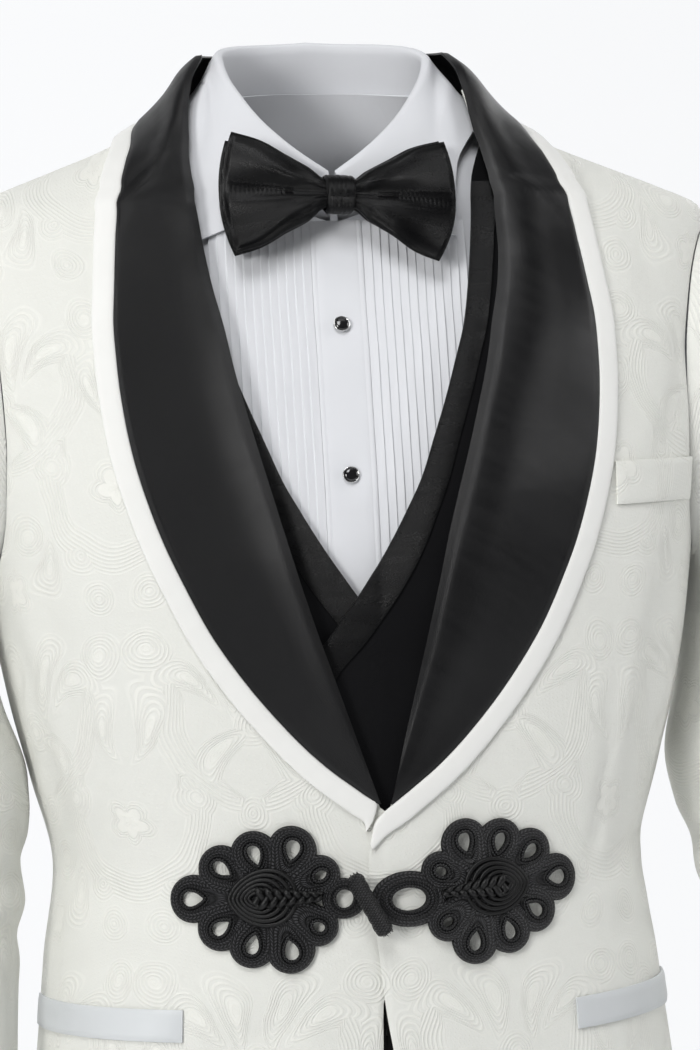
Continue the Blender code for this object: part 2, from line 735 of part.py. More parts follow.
def waistcoat_front(side_name, side):
    grid = [spread(waistcoat_edge_q(side, h), waistcoat_arm_q(h), h, 5) for h in WAISTCOAT_ROWS]
    lifts = functools.partial(lifts_of, "waistcoat_" + side_name)
    cloth("waistcoat_front_" + side_name, WAISTCOAT_BLACK, grid, lifts, side)


def waistcoat_band(side_name, side):
    lowest = -0.335 if side > 0 else -0.298
    heights = [h for h in WAISTCOAT_ROWS if lowest <= h <= -0.038]
    slant = Curve((-0.34, -0.28, -0.20, -0.10, -0.04, 0.0), (1.7, 1.65, 1.12, 1.0, 1.05, 1.3))
    grid = []
    for h in heights:
        start = waistcoat_edge_q(side, h)
        end = waistcoat_edge_q(side, h, WAISTCOAT_BAND * slant(h))
        grid.append(spread(start, end, h, 1))
    lifts = functools.partial(lifts_of, "band_" + side_name)
    cloth("waistcoat_band_" + side_name, SATIN_BLACK, grid, lifts, side)


def waistcoat_back():
    grid = []
    for h in WAISTCOAT_ROWS:
        if h == -0.335:
            continue
        side_q = waistcoat_arm_q(h, True)
        grid.append(spread(side_q, 4 - side_q, h, 13))
    cloth("waistcoat_back", WAISTCOAT_BLACK, grid, lambda q, h: layer("waistcoat_back", h))


# ---------------------------------------------------------------- shirt
SHIRT_NECK_X = columns(SHIRT_NECK)[0]
SHIRT_LOOP_ROWS = (-0.225, -0.145, -0.105, -0.072)
SHIRT_ROWS = (
    SHIRT_TAIL, -0.475, -0.430, -0.375, -0.318, -0.255, -0.225, -0.145, -0.105, -0.072,
    -0.052, -0.038, -0.022, -0.006, 0.003, 0.012, 0.021, 0.030,
)
SHIRT_CENTRE = Curve((-0.54, -0.21, -0.12, -0.06, 0.02), (-0.0120, -0.0112, -0.0100, -0.0075, -0.0060))


def shirt_start_q(side, height):
    return q_at(SHIRT_NECK_X(height) + side * SHIRT_CENTRE(height), height)


def shirt_lifts(q, height):
    """The shirt's two lifts, drawn in where it is tucked into the trousers and at the sides."""
    low, high = layer("shirt", height)
    tuck = (3.4 + 4.6 * ease(abs(q) / 0.45)) * MM * ease((-0.375 - height) / 0.055)
    beside = ease((abs(q) - 0.45) / 0.45)
    tuck += (5.4 - 4.2 * ease((height + 0.13) / 0.06)) * MM * beside
    tuck += (2.6 + 2.0 * beside) * MM * ease((height + 0.025) / 0.02)
    return low - tuck, high - tuck


def shirt_front(side_name, side):
    grid = [spread(shirt_start_q(side, h), armhole_q(h, False, SHIRT_ARMPIT), h, 7) for h in SHIRT_ROWS]
    cloth("shirt_front_" + side_name, SHIRT_WHITE, grid, shirt_lifts, side)


def shirt_back():
    grid = []
    for h in SHIRT_ROWS:
        side_q = armhole_q(h, True, SHIRT_ARMPIT)
        grid.append(spread(side_q, 4 - side_q, h, 11))
    cloth("shirt_back", SHIRT_WHITE, grid, shirt_lifts)


def shirt_bib(side_name, side):
    """Pin tucks beside the placket: each rises to its fold and steps down."""
    heights = [h for h in SHIRT_ROWS if BIB_END <= h < -0.072] + [BIB_TOP]
    start = PLACKET_WIDTH / 2 + 0.4 * MM
    lines = [(start, 0.0)]
    for k in range(PLEATS):
        edge = start + PLEAT_PITCH * (k + 1)
        lines.append((edge - PLEAT_STEP, PLEAT_RISE))
        lines.append((edge, 0.0))
    inner = []
    outer = []
    for h in heights:
        low, high = layer("bib", h)
        low_row = []
        high_row = []
        for x, rise in lines:
            q = side * q_at(x + side * SHIRT_CENTRE(h), h)
            low_row.append(on_form(q, h, low))
            high_row.append(on_form(q, h, high + rise))
        inner.append(low_row)
        outer.append(high_row)
    shell("shirt_bib_" + side_name, SHIRT_WHITE, inner, outer)


def shirt_placket():
    heights = [h for h in SHIRT_ROWS if -0.375 <= h < -0.072] + [BIB_TOP]
    half = PLACKET_WIDTH / 2
    inner = []
    outer = []
    for h in heights:
        low, high = layer("bib", h)
        places = [q_at(SHIRT_CENTRE(h) + x, h) for x in (-half, -half / 2, 0.0, half / 2, half)]
        inner.append([on_form(q, h, low) for q in places])
        outer.append([on_form(q, h, high + 0.3 * MM) for q in places])
    shell("shirt_placket", SHIRT_WHITE, inner, outer)


BASE_Z = Curve((0, 35, 65, 90, 135, 180), (-0.0635, -0.048, -0.014, 0.016, 0.026, 0.030))
FOLD_Z = Curve((0, 18, 36, 65, 90, 135, 180), (-0.036, -0.022, -0.006, 0.022, 0.040, 0.052, 0.056))


def collar_profile(turn):
    """The shirt collar's section at a turn round the neck, 0 at centre front and 180 at the back."""
    angle = math.radians(turn)
    side = math.sin(angle)
    fore = math.cos(angle)
    shift = -0.0075 * max(fore, 0.0)
    base = np.array((shift + 0.0660 * side, (-0.0655 if fore > 0 else -0.0640) * fore, BASE_Z(abs(turn))))
    fold = np.array((shift + 0.0610 * side, -0.0590 * fore, FOLD_Z(abs(turn))))
    out = np.array((side, -fore, 0.0))
    return base, fold, out


COLLAR_LEAF = (
    # turn, x, height of the leaf's outer edge
    (2, 0.003, -0.0415),
    (14, 0.024, -0.050),
    (30, 0.050, -0.0605),
    (46, 0.0775, -0.0710),
    (58, 0.0790, -0.052),
    (72, 0.0800, -0.028),
    (90, 0.0950, 0.006),
)


# How far the leaf is shifted sideways at a turn.
LEAF_SHIFT = Curve((0, 46, 58, 72, 90), (-0.0090, -0.0130, -0.0130, -0.0100, 0.0))
HALF_TURNS = (2, 11, 22, 34, 46, 56, 68, 82, 100, 125, 152)
COLLAR_TURNS = HALF_TURNS + (180,) + tuple(-turn for turn in reversed(HALF_TURNS))


def shirt_collar():
    """Stand and turned-down leaf in one wall, from one end at centre front round to the other."""
    leaf_x, leaf_z = columns(COLLAR_LEAF)
    rows = []
    for turn in COLLAR_TURNS:
        base, fold, out = collar_profile(turn)
        size = abs(turn)
        side = math.copysign(1, turn) if size < 180 else 1
        if size < 90:
            height = leaf_z(size)
            q = q_at(side * leaf_x(size) + LEAF_SHIFT(size), height)
        else:
            height = 0.006 + 0.010 * ease((size - 82) / 18)
            q = side * size / 90
        spread_out = ease((size - 50) / 20)
        edge = on_form(q, height, -4.8 * MM + 1.3 * MM * spread_out)
        crest = np.array((0.0, 0.0, 1.6 * MM))
        leaf_top = fold + out * 5.4 * MM
        between = leaf_top * 0.5 + edge * 0.5
        lift = -4.9 * MM + 0.6 * MM * spread_out
        middle = on_form(q_at(between[0], between[2], size > 90), between[2], lift)
        rows.append([base, fold, fold + out * 2.7 * MM + crest, leaf_top - crest, middle, edge])
    inner = []
    outer = []
    for i, row in enumerate(rows):
        low_row = []
        high_row = []
        for j, point in enumerate(row):
            along = rows[min(i + 1, len(rows) - 1)][j] - rows[max(i - 1, 0)][j]
            down = row[min(j + 1, len(row) - 1)] - row[max(j - 1, 0)]
            normal = np.cross(along, down)
            normal /= np.linalg.norm(normal)
            high_row.append(point + normal * 0.6 * MM)
            low_row.append(point - normal * 0.6 * MM)
        inner.append(low_row)
        outer.append(high_row)
    shell("shirt_collar", SHIRT_WHITE, inner, outer)


def stud(number, height, rest):
    """A round stud: a low drum with a domed top."""
    centre_q = q_at(SHIRT_CENTRE(height), height)
    lift = layer("bib", height)[1] + rest
    centre = on_form(centre_q, height, lift)
    out = on_form(centre_q, height, lift + 1.0) - centre
    across = np.array((1.0, 0.0, 0.0))
    across -= out * across.dot(out)
    across /= np.linalg.norm(across)
    up = np.cross(across, out)
    profile = ((0.36, 0.0), (0.5, 0.0009), (0.5, 0.0016), (0.40, 0.0024), (0.2, 0.0028))
    rings = []
    for radius, rise in profile:
        ring = []
        for j in range(12):
            turn = 2 * math.pi * j / 12
            spoke = across * math.cos(turn) + up * math.sin(turn)
            ring.append(centre + out * rise + STUD_WIDTH * radius * spoke)
        rings.append(ring)
    solid("stud_%d" % number, ENAMEL_BLACK, rings)


# ---------------------------------------------------------------- bow tie
BOW_CENTRE = np.array((-0.0070, -0.0797, -0.0480))
BOW_TILT = math.radians(3.5)
# Half a bow: distance from the knot, half height above and below, half thickness.
BOW = (
    (0.0000, 0.0075, 0.0075, 0.0032),
    (0.0085, 0.0085, 0.0085, 0.0036),
    (0.0180, 0.0150, 0.0165, 0.0052),
    (0.0330, 0.0225, 0.0240, 0.0060),
    (0.0500, 0.0300, 0.0320, 0.0050),
    (0.0690, 0.0345, 0.0375, 0.0032),
)


def leaned(x, y, z, tilt):
    """A point turned by tilt in the bow's plane."""
    return np.array((x * math.cos(tilt) + z * math.sin(tilt), y, z * math.cos(tilt) - x * math.sin(tilt)))


def bow_rings(depth, grow, turn_by):
    """Rings across a bow from its right end to its left end, with a pinch along its middle."""
    up, down, thick = columns(BOW)
    reach = [row[0] for row in BOW]
    places = [-x for x in reversed(reach[1:])] + reach
    rings = []
    for place in places:
        x = abs(place)
        fan = ease(x / 0.02)
        ring = []
        for j in range(12):
            turn = 2 * math.pi * j / 12
            high = math.sin(turn)
            tall = up(x) if high > 0 else down(x)
            z = tall * (1 + grow * fan) * math.copysign(abs(high) ** 0.8, high)
            pinch = 1 - 0.45 * fan * math.exp(-((z / 0.010) ** 2))
            y = -thick(x) * math.cos(turn) * pinch
            bend = 0.5 * x * x + 0.30 * z
            share = z / tall
            cut = (0.0060 if high > 0 else 0.0095) * share * share * ease((x - 0.02) / 0.049)
            out = place - math.copysign(cut, place)
            tilt = BOW_TILT + turn_by
            ring.append(BOW_CENTRE + leaned(out, y + bend + depth, z, tilt))
        rings.append(ring)
    return rings


def bow_tie():
    solid("bow_front", SATIN_BLACK, bow_rings(-0.0058, 0.0, 0.0))
    solid("bow_back", SATIN_BLACK, bow_rings(0.0056, -0.04, math.radians(-2.5)))
    inner = []
    outer = []
    for x in (-0.0084, 0.0, 0.0084):
        low_row = []
        high_row = []
        for j in range(14):
            turn = 2 * math.pi * j / 14
            squeeze = 1.0 if x else 1.03
            rise = math.copysign(abs(math.sin(turn)) ** 0.7, math.sin(turn))
            fore = math.copysign(abs(math.cos(turn)) ** 0.7, math.cos(turn))
            for row, grow in ((low_row, 0.0), (high_row, 1.4 * MM)):
                z = (0.0098 + grow) * squeeze * rise
                y = -(0.0104 + grow) * squeeze * fore + 0.30 * z
                row.append(BOW_CENTRE + leaned(x, y, z, BOW_TILT))
        inner.append(low_row)
        outer.append(high_row)
    shell("bow_knot", SATIN_BLACK, inner, outer, closed=True)


def bow_band():
    """The band round the neck, between the collar's stand and its leaf."""
    inner = []
    outer = []
    for share in (0.24, 0.52):
        low_row = []
        high_row = []
        for turn in COLLAR_TURNS:
            base, fold, out = collar_profile(turn)
            centre = base + (fold - base) * share
            bow = 2.4 * MM * ease((20 - abs(turn)) / 20)
            low_row.append(centre + out * (1.1 * MM + bow))
            high_row.append(centre + out * (2.1 * MM + bow))
        inner.append(low_row)
        outer.append(high_row)
    shell("bow_band", SATIN_BLACK, inner, outer)


# ---------------------------------------------------------------- frog closure
# Loops of one motif, from its centre: outwards, up, half length and half width of the hole, and
# the direction it points in, in degrees.
FROG_LOOPS = (
    (+0.0400, +0.0000, 0.0062, 0.0044, 0),
    (+0.0230, +0.0168, 0.0058, 0.0038, 38),
    (+0.0040, +0.0245, 0.0058, 0.0038, 75),
    (-0.0175, +0.0268, 0.0060, 0.0040, 105),
    (-0.0325, +0.0120, 0.0036, 0.0027, 150),
    (+0.0235, -0.0162, 0.0058, 0.0038, -38),
    (+0.0055, -0.0262, 0.0058, 0.0038, -75),
    (-0.0160, -0.0300, 0.0060, 0.0040, -105),
    (-0.0315, -0.0175, 0.0036, 0.0027, -150),
)
FROG_CENTRE = (0.0157, 0.0132)
# A motif's distance from centre front, its rise above FROG_HEIGHT and its lean in degrees, then
# the eye beside the toggle: distance from centre front, half width and half height of its
# outside, and of its hole.
FROG_PLACES = {
    "left": (0.0640, -0.0005, 3.0, 0.0117, 0.0220, 0.0165, 0.0125, 0.0085),
    "right": (0.0700, -0.0015, 0.0, 0.0240, 0.0128, 0.0120, 0.0052, 0.0055),
}


def ellipse(centre, half, turn, count):
    """Points round an ellipse whose long axis points at turn degrees."""
    points = []
    lean = math.radians(turn)
    for j in range(count):
        angle = 2 * math.pi * (j + 0.5) / count
        a, b = half[0] * math.cos(angle), half[1] * math.sin(angle)
        x = centre[0] + a * math.cos(lean) - b * math.sin(lean)
        y = centre[1] + a * math.sin(lean) + b * math.cos(lean)
        points.append((x, y))
    return points


def inside(point, polygon):
    """Whether a point lies in a polygon, by counting crossings."""
    hit = False
    for (x0, y0), (x1, y1) in zip(polygon, polygon[1:] + polygon[:1]):
        if (y0 > point[1]) != (y1 > point[1]) and point[0] < x0 + (point[1] - y0) / (y1 - y0) * (x1 - x0):
            hit = not hit
    return hit


def plate(name, material, lobes, holes, to_surface, thickness):
    """A flat plate over all the lobes with the holes cut through, bent on to the cloth.

    The lobes' outlines overlap: their edges are cut against each other, and each small
    triangle is kept if its middle is in a lobe and in no hole."""
    points = []
    edges = []
    for polygon in lobes + holes:
        first = len(points)
        points += polygon
        edges += [(first + i, first + (i + 1) % len(polygon)) for i in range(len(polygon))]
    cut = delaunay_2d_cdt(points, edges, [], 0, 1e-5)
    flat = [tuple(p) for p in cut[0]]
    kept = []
    for face in cut[2]:
        middle = (sum(flat[i][0] for i in face) / len(face), sum(flat[i][1] for i in face) / len(face))
        if any(inside(middle, lobe) for lobe in lobes) and not any(inside(middle, hole) for hole in holes):
            kept.append(tuple(face))
    count = len(flat)
    directed = {}
    for face in kept:
        for a, b in zip(face, face[1:] + face[:1]):
            directed[(a, b)] = True
    faces = list(kept)
    faces += [tuple(count + i for i in reversed(face)) for face in kept]
    for a, b in directed:
        if (b, a) not in directed:
            faces.append((b, a, count + a))
            faces.append((b, count + a, count + b))
    solid_points = [to_surface(s, h, thickness) for s, h in flat] + [to_surface(s, h, 0.0) for s, h in flat]
    used = sorted({i for face in faces for i in face})
    renumber = {old: new for new, old in enumerate(used)}
    faces = [tuple(renumber[i] for i in face) for face in faces]
    return body(name, material, [solid_points[i] for i in used], faces)


def frog(side_name, side):
    x, rise, tilt, eye, wide, tall, hole_wide, hole_tall = FROG_PLACES[side_name]
    centre_height = FROG_HEIGHT + rise
    centre_q = q_at(x, centre_height)
    lean = math.radians(tilt)

    def to_surface(s, h, above):
        out = s * math.cos(lean) - h * math.sin(lean)
        up = s * math.sin(lean) + h * math.cos(lean)
        height = centre_height + up
        q = centre_q + q_step(out, height)
        lift = FROG_REST + above + lapel_raise(side, q, height)
        return on_form(side * q, height, lift)

    lobes = []
    for s, h, a, _, turn in FROG_LOOPS:
        narrow = 0.78 if a < 0.004 else 0.95
        lobes.append(ellipse((s, h), (FROG_LOBE, FROG_LOBE * narrow), turn, 10))
    lobes.append(ellipse((0.0, 0.0), (FROG_CENTRE[0] * 1.25, FROG_CENTRE[1] * 1.25), 0, 10))
    lobes.append(ellipse((-0.0260, -0.0020), (0.0150, 0.0110), 0, 8))
    lobes.append(ellipse((eye - x, -0.0020), (wide, tall), -tilt, 14))
    holes = [ellipse((s, h), (a, b), turn, 6) for s, h, a, b, turn in FROG_LOOPS]
    holes.append(ellipse((eye - x, -0.0020), (hole_wide, hole_tall), -tilt, 8))
    plate("frog_" + side_name, CORD_BLACK, lobes, holes, to_surface, FROG_THICKNESS)


def toggle():
    """A bar of wound braid, lying slantwise over the front edge."""
    height = -0.4560
    rest = FROG_REST + FROG_THICKNESS + LAP + 0.2 * MM
    middle = on_form(q_at(-0.0118, height), height, rest + TOGGLE_RADIUS)
    along = np.array((0.0190, -0.0010, -0.0347))
    along /= np.linalg.norm(along)
    across = np.cross(along, (0.0, -1.0, 0.0))
    across /= np.linalg.norm(across)
    out = np.cross(across, along)
    half = ((0.12, 0.92), (0.40, 1.0), (0.47, 0.82), (0.50, 0.45))
    profile = tuple((-place, girth) for place, girth in reversed(half)) + half
    rings = []
    for place, girth in profile:
        ring = []
        for j in range(10):
            turn = 2 * math.pi * j / 10
            radius = TOGGLE_RADIUS * girth
            spoke = across * math.cos(turn) + out * math.sin(turn)
            ring.append(middle + along * TOGGLE_LENGTH * place + radius * spoke)
        rings.append(ring)
    solid("frog_toggle", CORD_BLACK, rings)


# ---------------------------------------------------------------- trousers
def trouser_leg(side_name, side):
    """One leg: a tube below the fork, and half of the seat above it, seamed at the centre."""
    curves = columns(TROUSER)
    count = 13
    inner = []
    outer = []
    for row in TROUSER:
        height = row[0]
        centre, half_width, middle, half_depth, square = (curve(height) for curve in curves)
        for rows, shrink in ((inner, TROUSER_WALL), (outer, 0.0)):
            a, b = half_width - shrink, half_depth - shrink
            start = math.asin((SEAM_GAP / 2 / b) ** (square / 2))
            reach = (centre - SEAM_GAP * 0.7) / a
            if reach < 1:
                start = math.acos(math.copysign(abs(reach) ** (square / 2), reach))
            ring = []
            for k in range(count + 1):
                turn = start + (2 * math.pi - 2 * start) * k / count
                c, s = math.cos(turn), math.sin(turn)
                x = centre - a * math.copysign(abs(c) ** (2 / square), c)
                y = middle - b * math.copysign(abs(s) ** (2 / square), s)
                ring.append(np.array((side * max(x, SEAM_GAP * 0.7), y, height)))
            rows.append(ring)
    shell("trouser_" + side_name, TROUSER_BLACK, inner, outer)


def waistband():
    centre, half_width, middle, half_depth, square = TROUSER[0][1:]
    inner = []
    outer = []
    count = 22
    for height in (WAISTBAND_BOTTOM + SEAM_GAP, WAISTBAND_TOP):
        for rows, shrink in ((inner, 2.0 * MM), (outer, 0.0)):
            ring = []
            for k in range(count):
                turn = 2 * math.pi * (k + 0.5) / count
                c, s = math.cos(turn), math.sin(turn)
                x = (half_width - shrink) * math.copysign(abs(c) ** (2 / square), c)
                y = middle + (half_depth - shrink) * math.copysign(abs(s) ** (2 / square), s)
                ring.append(np.array((x, y, height)))
            rows.append(ring)
    shell("waistband", TROUSER_BLACK, inner, outer, closed=True)


# ---------------------------------------------------------------- the whole set
SLEEVE_HEIGHTS = tuple(row[0] for row in SLEEVE)
JACKET_LOOP_ROWS = tuple(h for h in YOKE_ROWS if ARMPIT < h < SHOULDER_END)
SHIRT_SLEEVE_HEIGHTS = SLEEVE_HEIGHTS[:3] + (-0.48, -0.59, -0.650 - SHIRT_CUFF_SHOWS)
# Pocket welts: start and end, each as distance from centre, lower and upper edge's height.
BREAST_WELT = ((0.1470, -0.2335, -0.2085), (0.2030, -0.2310, -0.2060))
HIP_WELT = {
    1: ((0.1130, -0.5370, -0.5190), (0.1850, -0.5310, -0.5130)),
    -1: ((0.1160, -0.5330, -0.5145), (0.1870, -0.5305, -0.5125)),
}


def build():
    for side_name, side in SIDES:
        jacket_front(side_name, side)
        jacket_back(side_name, side)
        lapel(side_name, side)
        lapel_trim(side_name, side)
        name = "jacket_sleeve_" + side_name
        sleeve(name, IVORY, side, SLEEVE_HEIGHTS, JACKET_LOOP_ROWS, ARMPIT, 0.0, SLEEVE_WALL, jacket_lifts)
        welt("hip_welt_" + side_name, SATIN_WHITE, side, HIP_WELT[side], 5)
        waistcoat_front(side_name, side)
        waistcoat_band(side_name, side)
        shirt_front(side_name, side)
        shirt_bib(side_name, side)
        name = "shirt_sleeve_" + side_name
        heights, rows = SHIRT_SLEEVE_HEIGHTS, SHIRT_LOOP_ROWS
        sleeve(name, SHIRT_WHITE, side, heights, rows, SHIRT_ARMPIT, 7.5 * MM, 1.2 * MM, shirt_lifts)
        frog(side_name, side)
        trouser_leg(side_name, side)
    welt("breast_welt", IVORY, 1, BREAST_WELT, 5)
    waistcoat_back()
    shirt_back()
    shirt_placket()
    shirt_collar()
    for number, (height, rest) in enumerate(STUDS, 1):
        stud(number, height, rest)
    bow_tie()
    bow_band()
    toggle()
    waistband()


build()
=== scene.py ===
"""Looks of the tuxedo: cloth, folds, weave, braid and light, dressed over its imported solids.

A place on the upper garments is (q, height) on the form that their solids share: q is 0 at centre
front, 1 at the wearer's left side, 2 at centre back and -1 at the right side; +X is the wearer's
left, the front faces -Y, +Z is up and heights are from the side of the neck. Lengths are metres.
"""
import functools
import math

import bmesh
import bpy
import numpy as np
from mathutils import Matrix, Vector


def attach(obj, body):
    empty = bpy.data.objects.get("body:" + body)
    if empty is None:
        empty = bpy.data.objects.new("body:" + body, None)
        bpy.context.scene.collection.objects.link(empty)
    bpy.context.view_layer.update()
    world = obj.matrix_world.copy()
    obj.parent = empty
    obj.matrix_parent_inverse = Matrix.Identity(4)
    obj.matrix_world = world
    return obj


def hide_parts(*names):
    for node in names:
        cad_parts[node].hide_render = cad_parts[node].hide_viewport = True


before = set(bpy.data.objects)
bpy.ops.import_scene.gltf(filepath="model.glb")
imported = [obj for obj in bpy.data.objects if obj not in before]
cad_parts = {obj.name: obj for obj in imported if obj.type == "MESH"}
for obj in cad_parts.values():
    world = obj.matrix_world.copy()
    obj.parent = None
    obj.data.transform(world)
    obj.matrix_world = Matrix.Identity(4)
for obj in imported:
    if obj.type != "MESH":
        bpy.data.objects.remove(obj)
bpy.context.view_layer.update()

MM = 0.001

# ---------------------------------------------------------------- driving dimensions (metres)
SEAM_GAP = 0.3 * MM
JACKET_HEM = -0.765
APEX = -0.402  # where the two lapels meet
ARMPIT = -0.275
SHIRT_ARMPIT = -0.255
SHOULDER_END = -0.052
LAP = 3.0 * MM  # how far the left front stands over the right one
LAP_WIDTH = 0.070
LAPEL_REST = 0.9 * MM
TUCKED_UNDER = 5.0 * MM  # how far behind the roll line a jacket front ends
TRIM_WIDTH = 0.013
COLLAR_FOLD = 0.043  # height of the jacket collar's fold at the side of the neck
INNER_SHIFT = -0.0115  # shirt and waistcoat sit this far towards the wearer's right
WAISTCOAT_HEM = -0.505
SHIRT_TAIL = -0.535
PLACKET_WIDTH = 0.031
PLEATS = 12
PLEAT_RISE = 0.9 * MM
BIB_END = -0.318
BIB_TOP = -0.060
STUD_WIDTH = 0.010
STUDS = ((-0.1206, 0.6 * MM), (-0.2096, -0.2 * MM))  # height, and rest on the placket
WAISTBAND_TOP = -0.428
WAISTBAND_BOTTOM = -0.468
TROUSER_HEM = -1.490
FROG_HEIGHT = -0.4495
FROG_REST = 0.7 * MM
FROG_THICKNESS = 3.6 * MM
FROG_LOBE = 0.0142
TOGGLE_LENGTH = 0.039
TOGGLE_RADIUS = 5.4 * MM

# The form, which is the jacket's outer surface: height, half width, depth to the front and to the
# back from the side seam's plane, and squareness of the section (2 is an ellipse).
FORM = (
    (+0.075, 0.066, 0.048, 0.066, 2.00),
    (+0.043, 0.069, 0.050, 0.072, 2.00),
    (+0.026, 0.083, 0.053, 0.0765, 1.90),
    (+0.012, 0.097, 0.056, 0.080, 1.80),
    (+0.000, 0.112, 0.059, 0.083, 1.70),
    (-0.012, 0.134, 0.062, 0.086, 1.65),
    (-0.026, 0.169, 0.066, 0.091, 1.65),
    (-0.040, 0.205, 0.070, 0.096, 1.70),
    (-0.052, 0.230, 0.074, 0.100, 1.80),
    (-0.070, 0.236, 0.080, 0.105, 2.00),
    (-0.100, 0.234, 0.093, 0.112, 2.20),
    (-0.140, 0.229, 0.110, 0.120, 2.30),
    (-0.180, 0.224, 0.121, 0.125, 2.40),
    (-0.225, 0.218, 0.130, 0.125, 2.45),
    (-0.270, 0.212, 0.134, 0.120, 2.45),
    (-0.340, 0.200, 0.132, 0.109, 2.40),
    (-0.385, 0.189, 0.129, 0.102, 2.35),
    (-0.437, 0.177, 0.126, 0.098, 2.30),
    (-0.490, 0.184, 0.125, 0.104, 2.30),
    (-0.545, 0.190, 0.125, 0.112, 2.30),
    (-0.640, 0.200, 0.126, 0.123, 2.30),
    (-0.770, 0.208, 0.129, 0.127, 2.20),
)

# The shawl lapel's lines on the form: height, distance from centre front of the left roll line,
# of the right one, and of the outer edge of the black satin.
LAPEL = (
    (-0.400, 0.0030, 0.0024, 0.0040),
    (-0.375, 0.0090, 0.0111, 0.0360),
    (-0.350, 0.0154, 0.0197, 0.0600),
    (-0.325, 0.0218, 0.0282, 0.0797),
    (-0.300, 0.0282, 0.0367, 0.0960),
    (-0.275, 0.0345, 0.0445, 0.1085),
    (-0.250, 0.0407, 0.0516, 0.1195),
    (-0.225, 0.0480, 0.0582, 0.1280),
    (-0.200, 0.0560, 0.0646, 0.1345),
    (-0.175, 0.0636, 0.0705, 0.1385),
    (-0.150, 0.0710, 0.0758, 0.1407),
    (-0.125, 0.0770, 0.0797, 0.1413),
    (-0.100, 0.0836, 0.0843, 0.1392),
    (-0.075, 0.0866, 0.0872, 0.1366),
    (-0.050, 0.0866, 0.0890, 0.1326),
    (-0.025, 0.0830, 0.0892, 0.1245),
    (-0.0175, 0.0815, 0.0882, 0.1210),
)
# The roll line's last stretch up the side of the neck: height, distance from centre of the left
# one and of the right one.
ROLL_TOP = ((0.000, 0.0785, 0.0855), (0.025, 0.0750, 0.0790), (COLLAR_FOLD, 0.0690, 0.0690))
# The same two lines behind the neck: distance from centre back, fold height, edge height.
COLLAR_BACK = (
    (0.060, 0.0465, +0.0010),
    (0.035, 0.0500, +0.0022),
    (0.000, 0.0520, +0.0030),
)
COLLAR_EDGE_AT_SIDE = +0.0010
# How far the lapel's face stands out across its width, from the roll line to the edge.
LAPEL_ROLL = ((0.0, 2.6 * MM), (0.10, 6.0 * MM), (0.30, 7.4 * MM), (0.65, 5.0 * MM), (1.0, 3.1 * MM))

# The jacket's front edges below the lapels: height, distance from centre of the left front's edge
# (it laps over) and of the right front's edge, each counted towards its own side.
FRONT_EDGE = (
    (-0.402, -0.0020, -0.0030),
    (-0.410, -0.0060, -0.0080),
    (-0.423, -0.0093, -0.0150),
    (-0.437, -0.0102, -0.0180),
    (-0.475, -0.0070, -0.0160),
    (-0.500, -0.0045, -0.0060),
    (-0.515, -0.0030, +0.0030),
    (-0.545, +0.0015, +0.0040),
    (-0.580, +0.0080, +0.0095),
    (-0.635, +0.0200, +0.0215),
    (-0.690, +0.0400, +0.0415),
    (-0.735, +0.0700, +0.0715),
    (JACKET_HEM, +0.1150, +0.1165),
)

# Armholes: height and distance from centre, of the jacket and shirt, and of the waistcoat.
ARMHOLE = (
    (-0.072, 0.2235),
    (-0.105, 0.2120),
    (-0.145, 0.2055),
    (-0.185, 0.2035),
    (-0.225, 0.2045),
    (-0.255, 0.2080),
)
WAISTCOAT_ARMHOLE = (
    (-0.038, 0.168),
    (-0.052, 0.172),
    (-0.072, 0.176),
    (-0.105, 0.178),
    (-0.145, 0.178),
    (-0.185, 0.180),
    (-0.225, 0.186),
    (-0.255, 0.196),
)
# The waistcoat's neckline and edge: height, distance from its own centre.
WAISTCOAT_EDGE = (
    (-0.520, -0.0407),
    (-0.335, -0.0407),
    (-0.305, -0.0182),
    (-0.281, +0.0000),
    (-0.255, +0.0172),
    (-0.232, +0.0305),
    (-0.215, +0.0395),
    (-0.1915, 0.0487),
    (-0.1688, 0.0575),
    (-0.1459, 0.0655),
    (-0.1226, 0.0735),
    (-0.093, 0.0802),
    (-0.063, 0.0855),
    (-0.0387, 0.0890),
    (-0.022, 0.0950),
    (-0.006, 0.1040),
)
WAISTCOAT_BAND = 0.0145
# The shirt's neckline: height, distance from its centre.
SHIRT_NECK = (
    (-0.072, 0.0000),
    (-0.064, 0.0220),
    (-0.052, 0.0400),
    (-0.038, 0.0530),
    (-0.022, 0.0630),
    (-0.006, 0.0700),
    (+0.010, 0.0730),
    (+0.030, 0.0740),
)

# Jacket sleeves: height, inner edge's distance from centre on the left arm and on the right arm,
# width, centre line's place fore and aft, half depth, fold (how far the cloth swells there).
SLEEVE = (
    (-0.300, 0.2145, 0.2135, 0.106, +0.001, 0.066, 0.0),
    (-0.340, 0.2085, 0.2055, 0.107, +0.000, 0.063, 0.0),
    (-0.385, 0.2000, 0.1925, 0.106, -0.001, 0.059, 0.0),
    (-0.415, 0.2065, 0.1945, 0.103, -0.004, 0.056, 2.2 * MM),
    (-0.436, 0.2115, 0.1965, 0.101, -0.006, 0.054, -1.8 * MM),
    (-0.457, 0.2165, 0.1985, 0.100, -0.009, 0.053, 2.0 * MM),
    (-0.480, 0.2215, 0.2000, 0.099, -0.012, 0.051, -1.0 * MM),
    (-0.530, 0.2340, 0.2035, 0.096, -0.019, 0.049, 0.0),
    (-0.590, 0.2480, 0.2090, 0.091, -0.030, 0.046, 0.0),
    (-0.650, 0.2620, 0.2130, 0.087, -0.043, 0.044, 0.0),
)
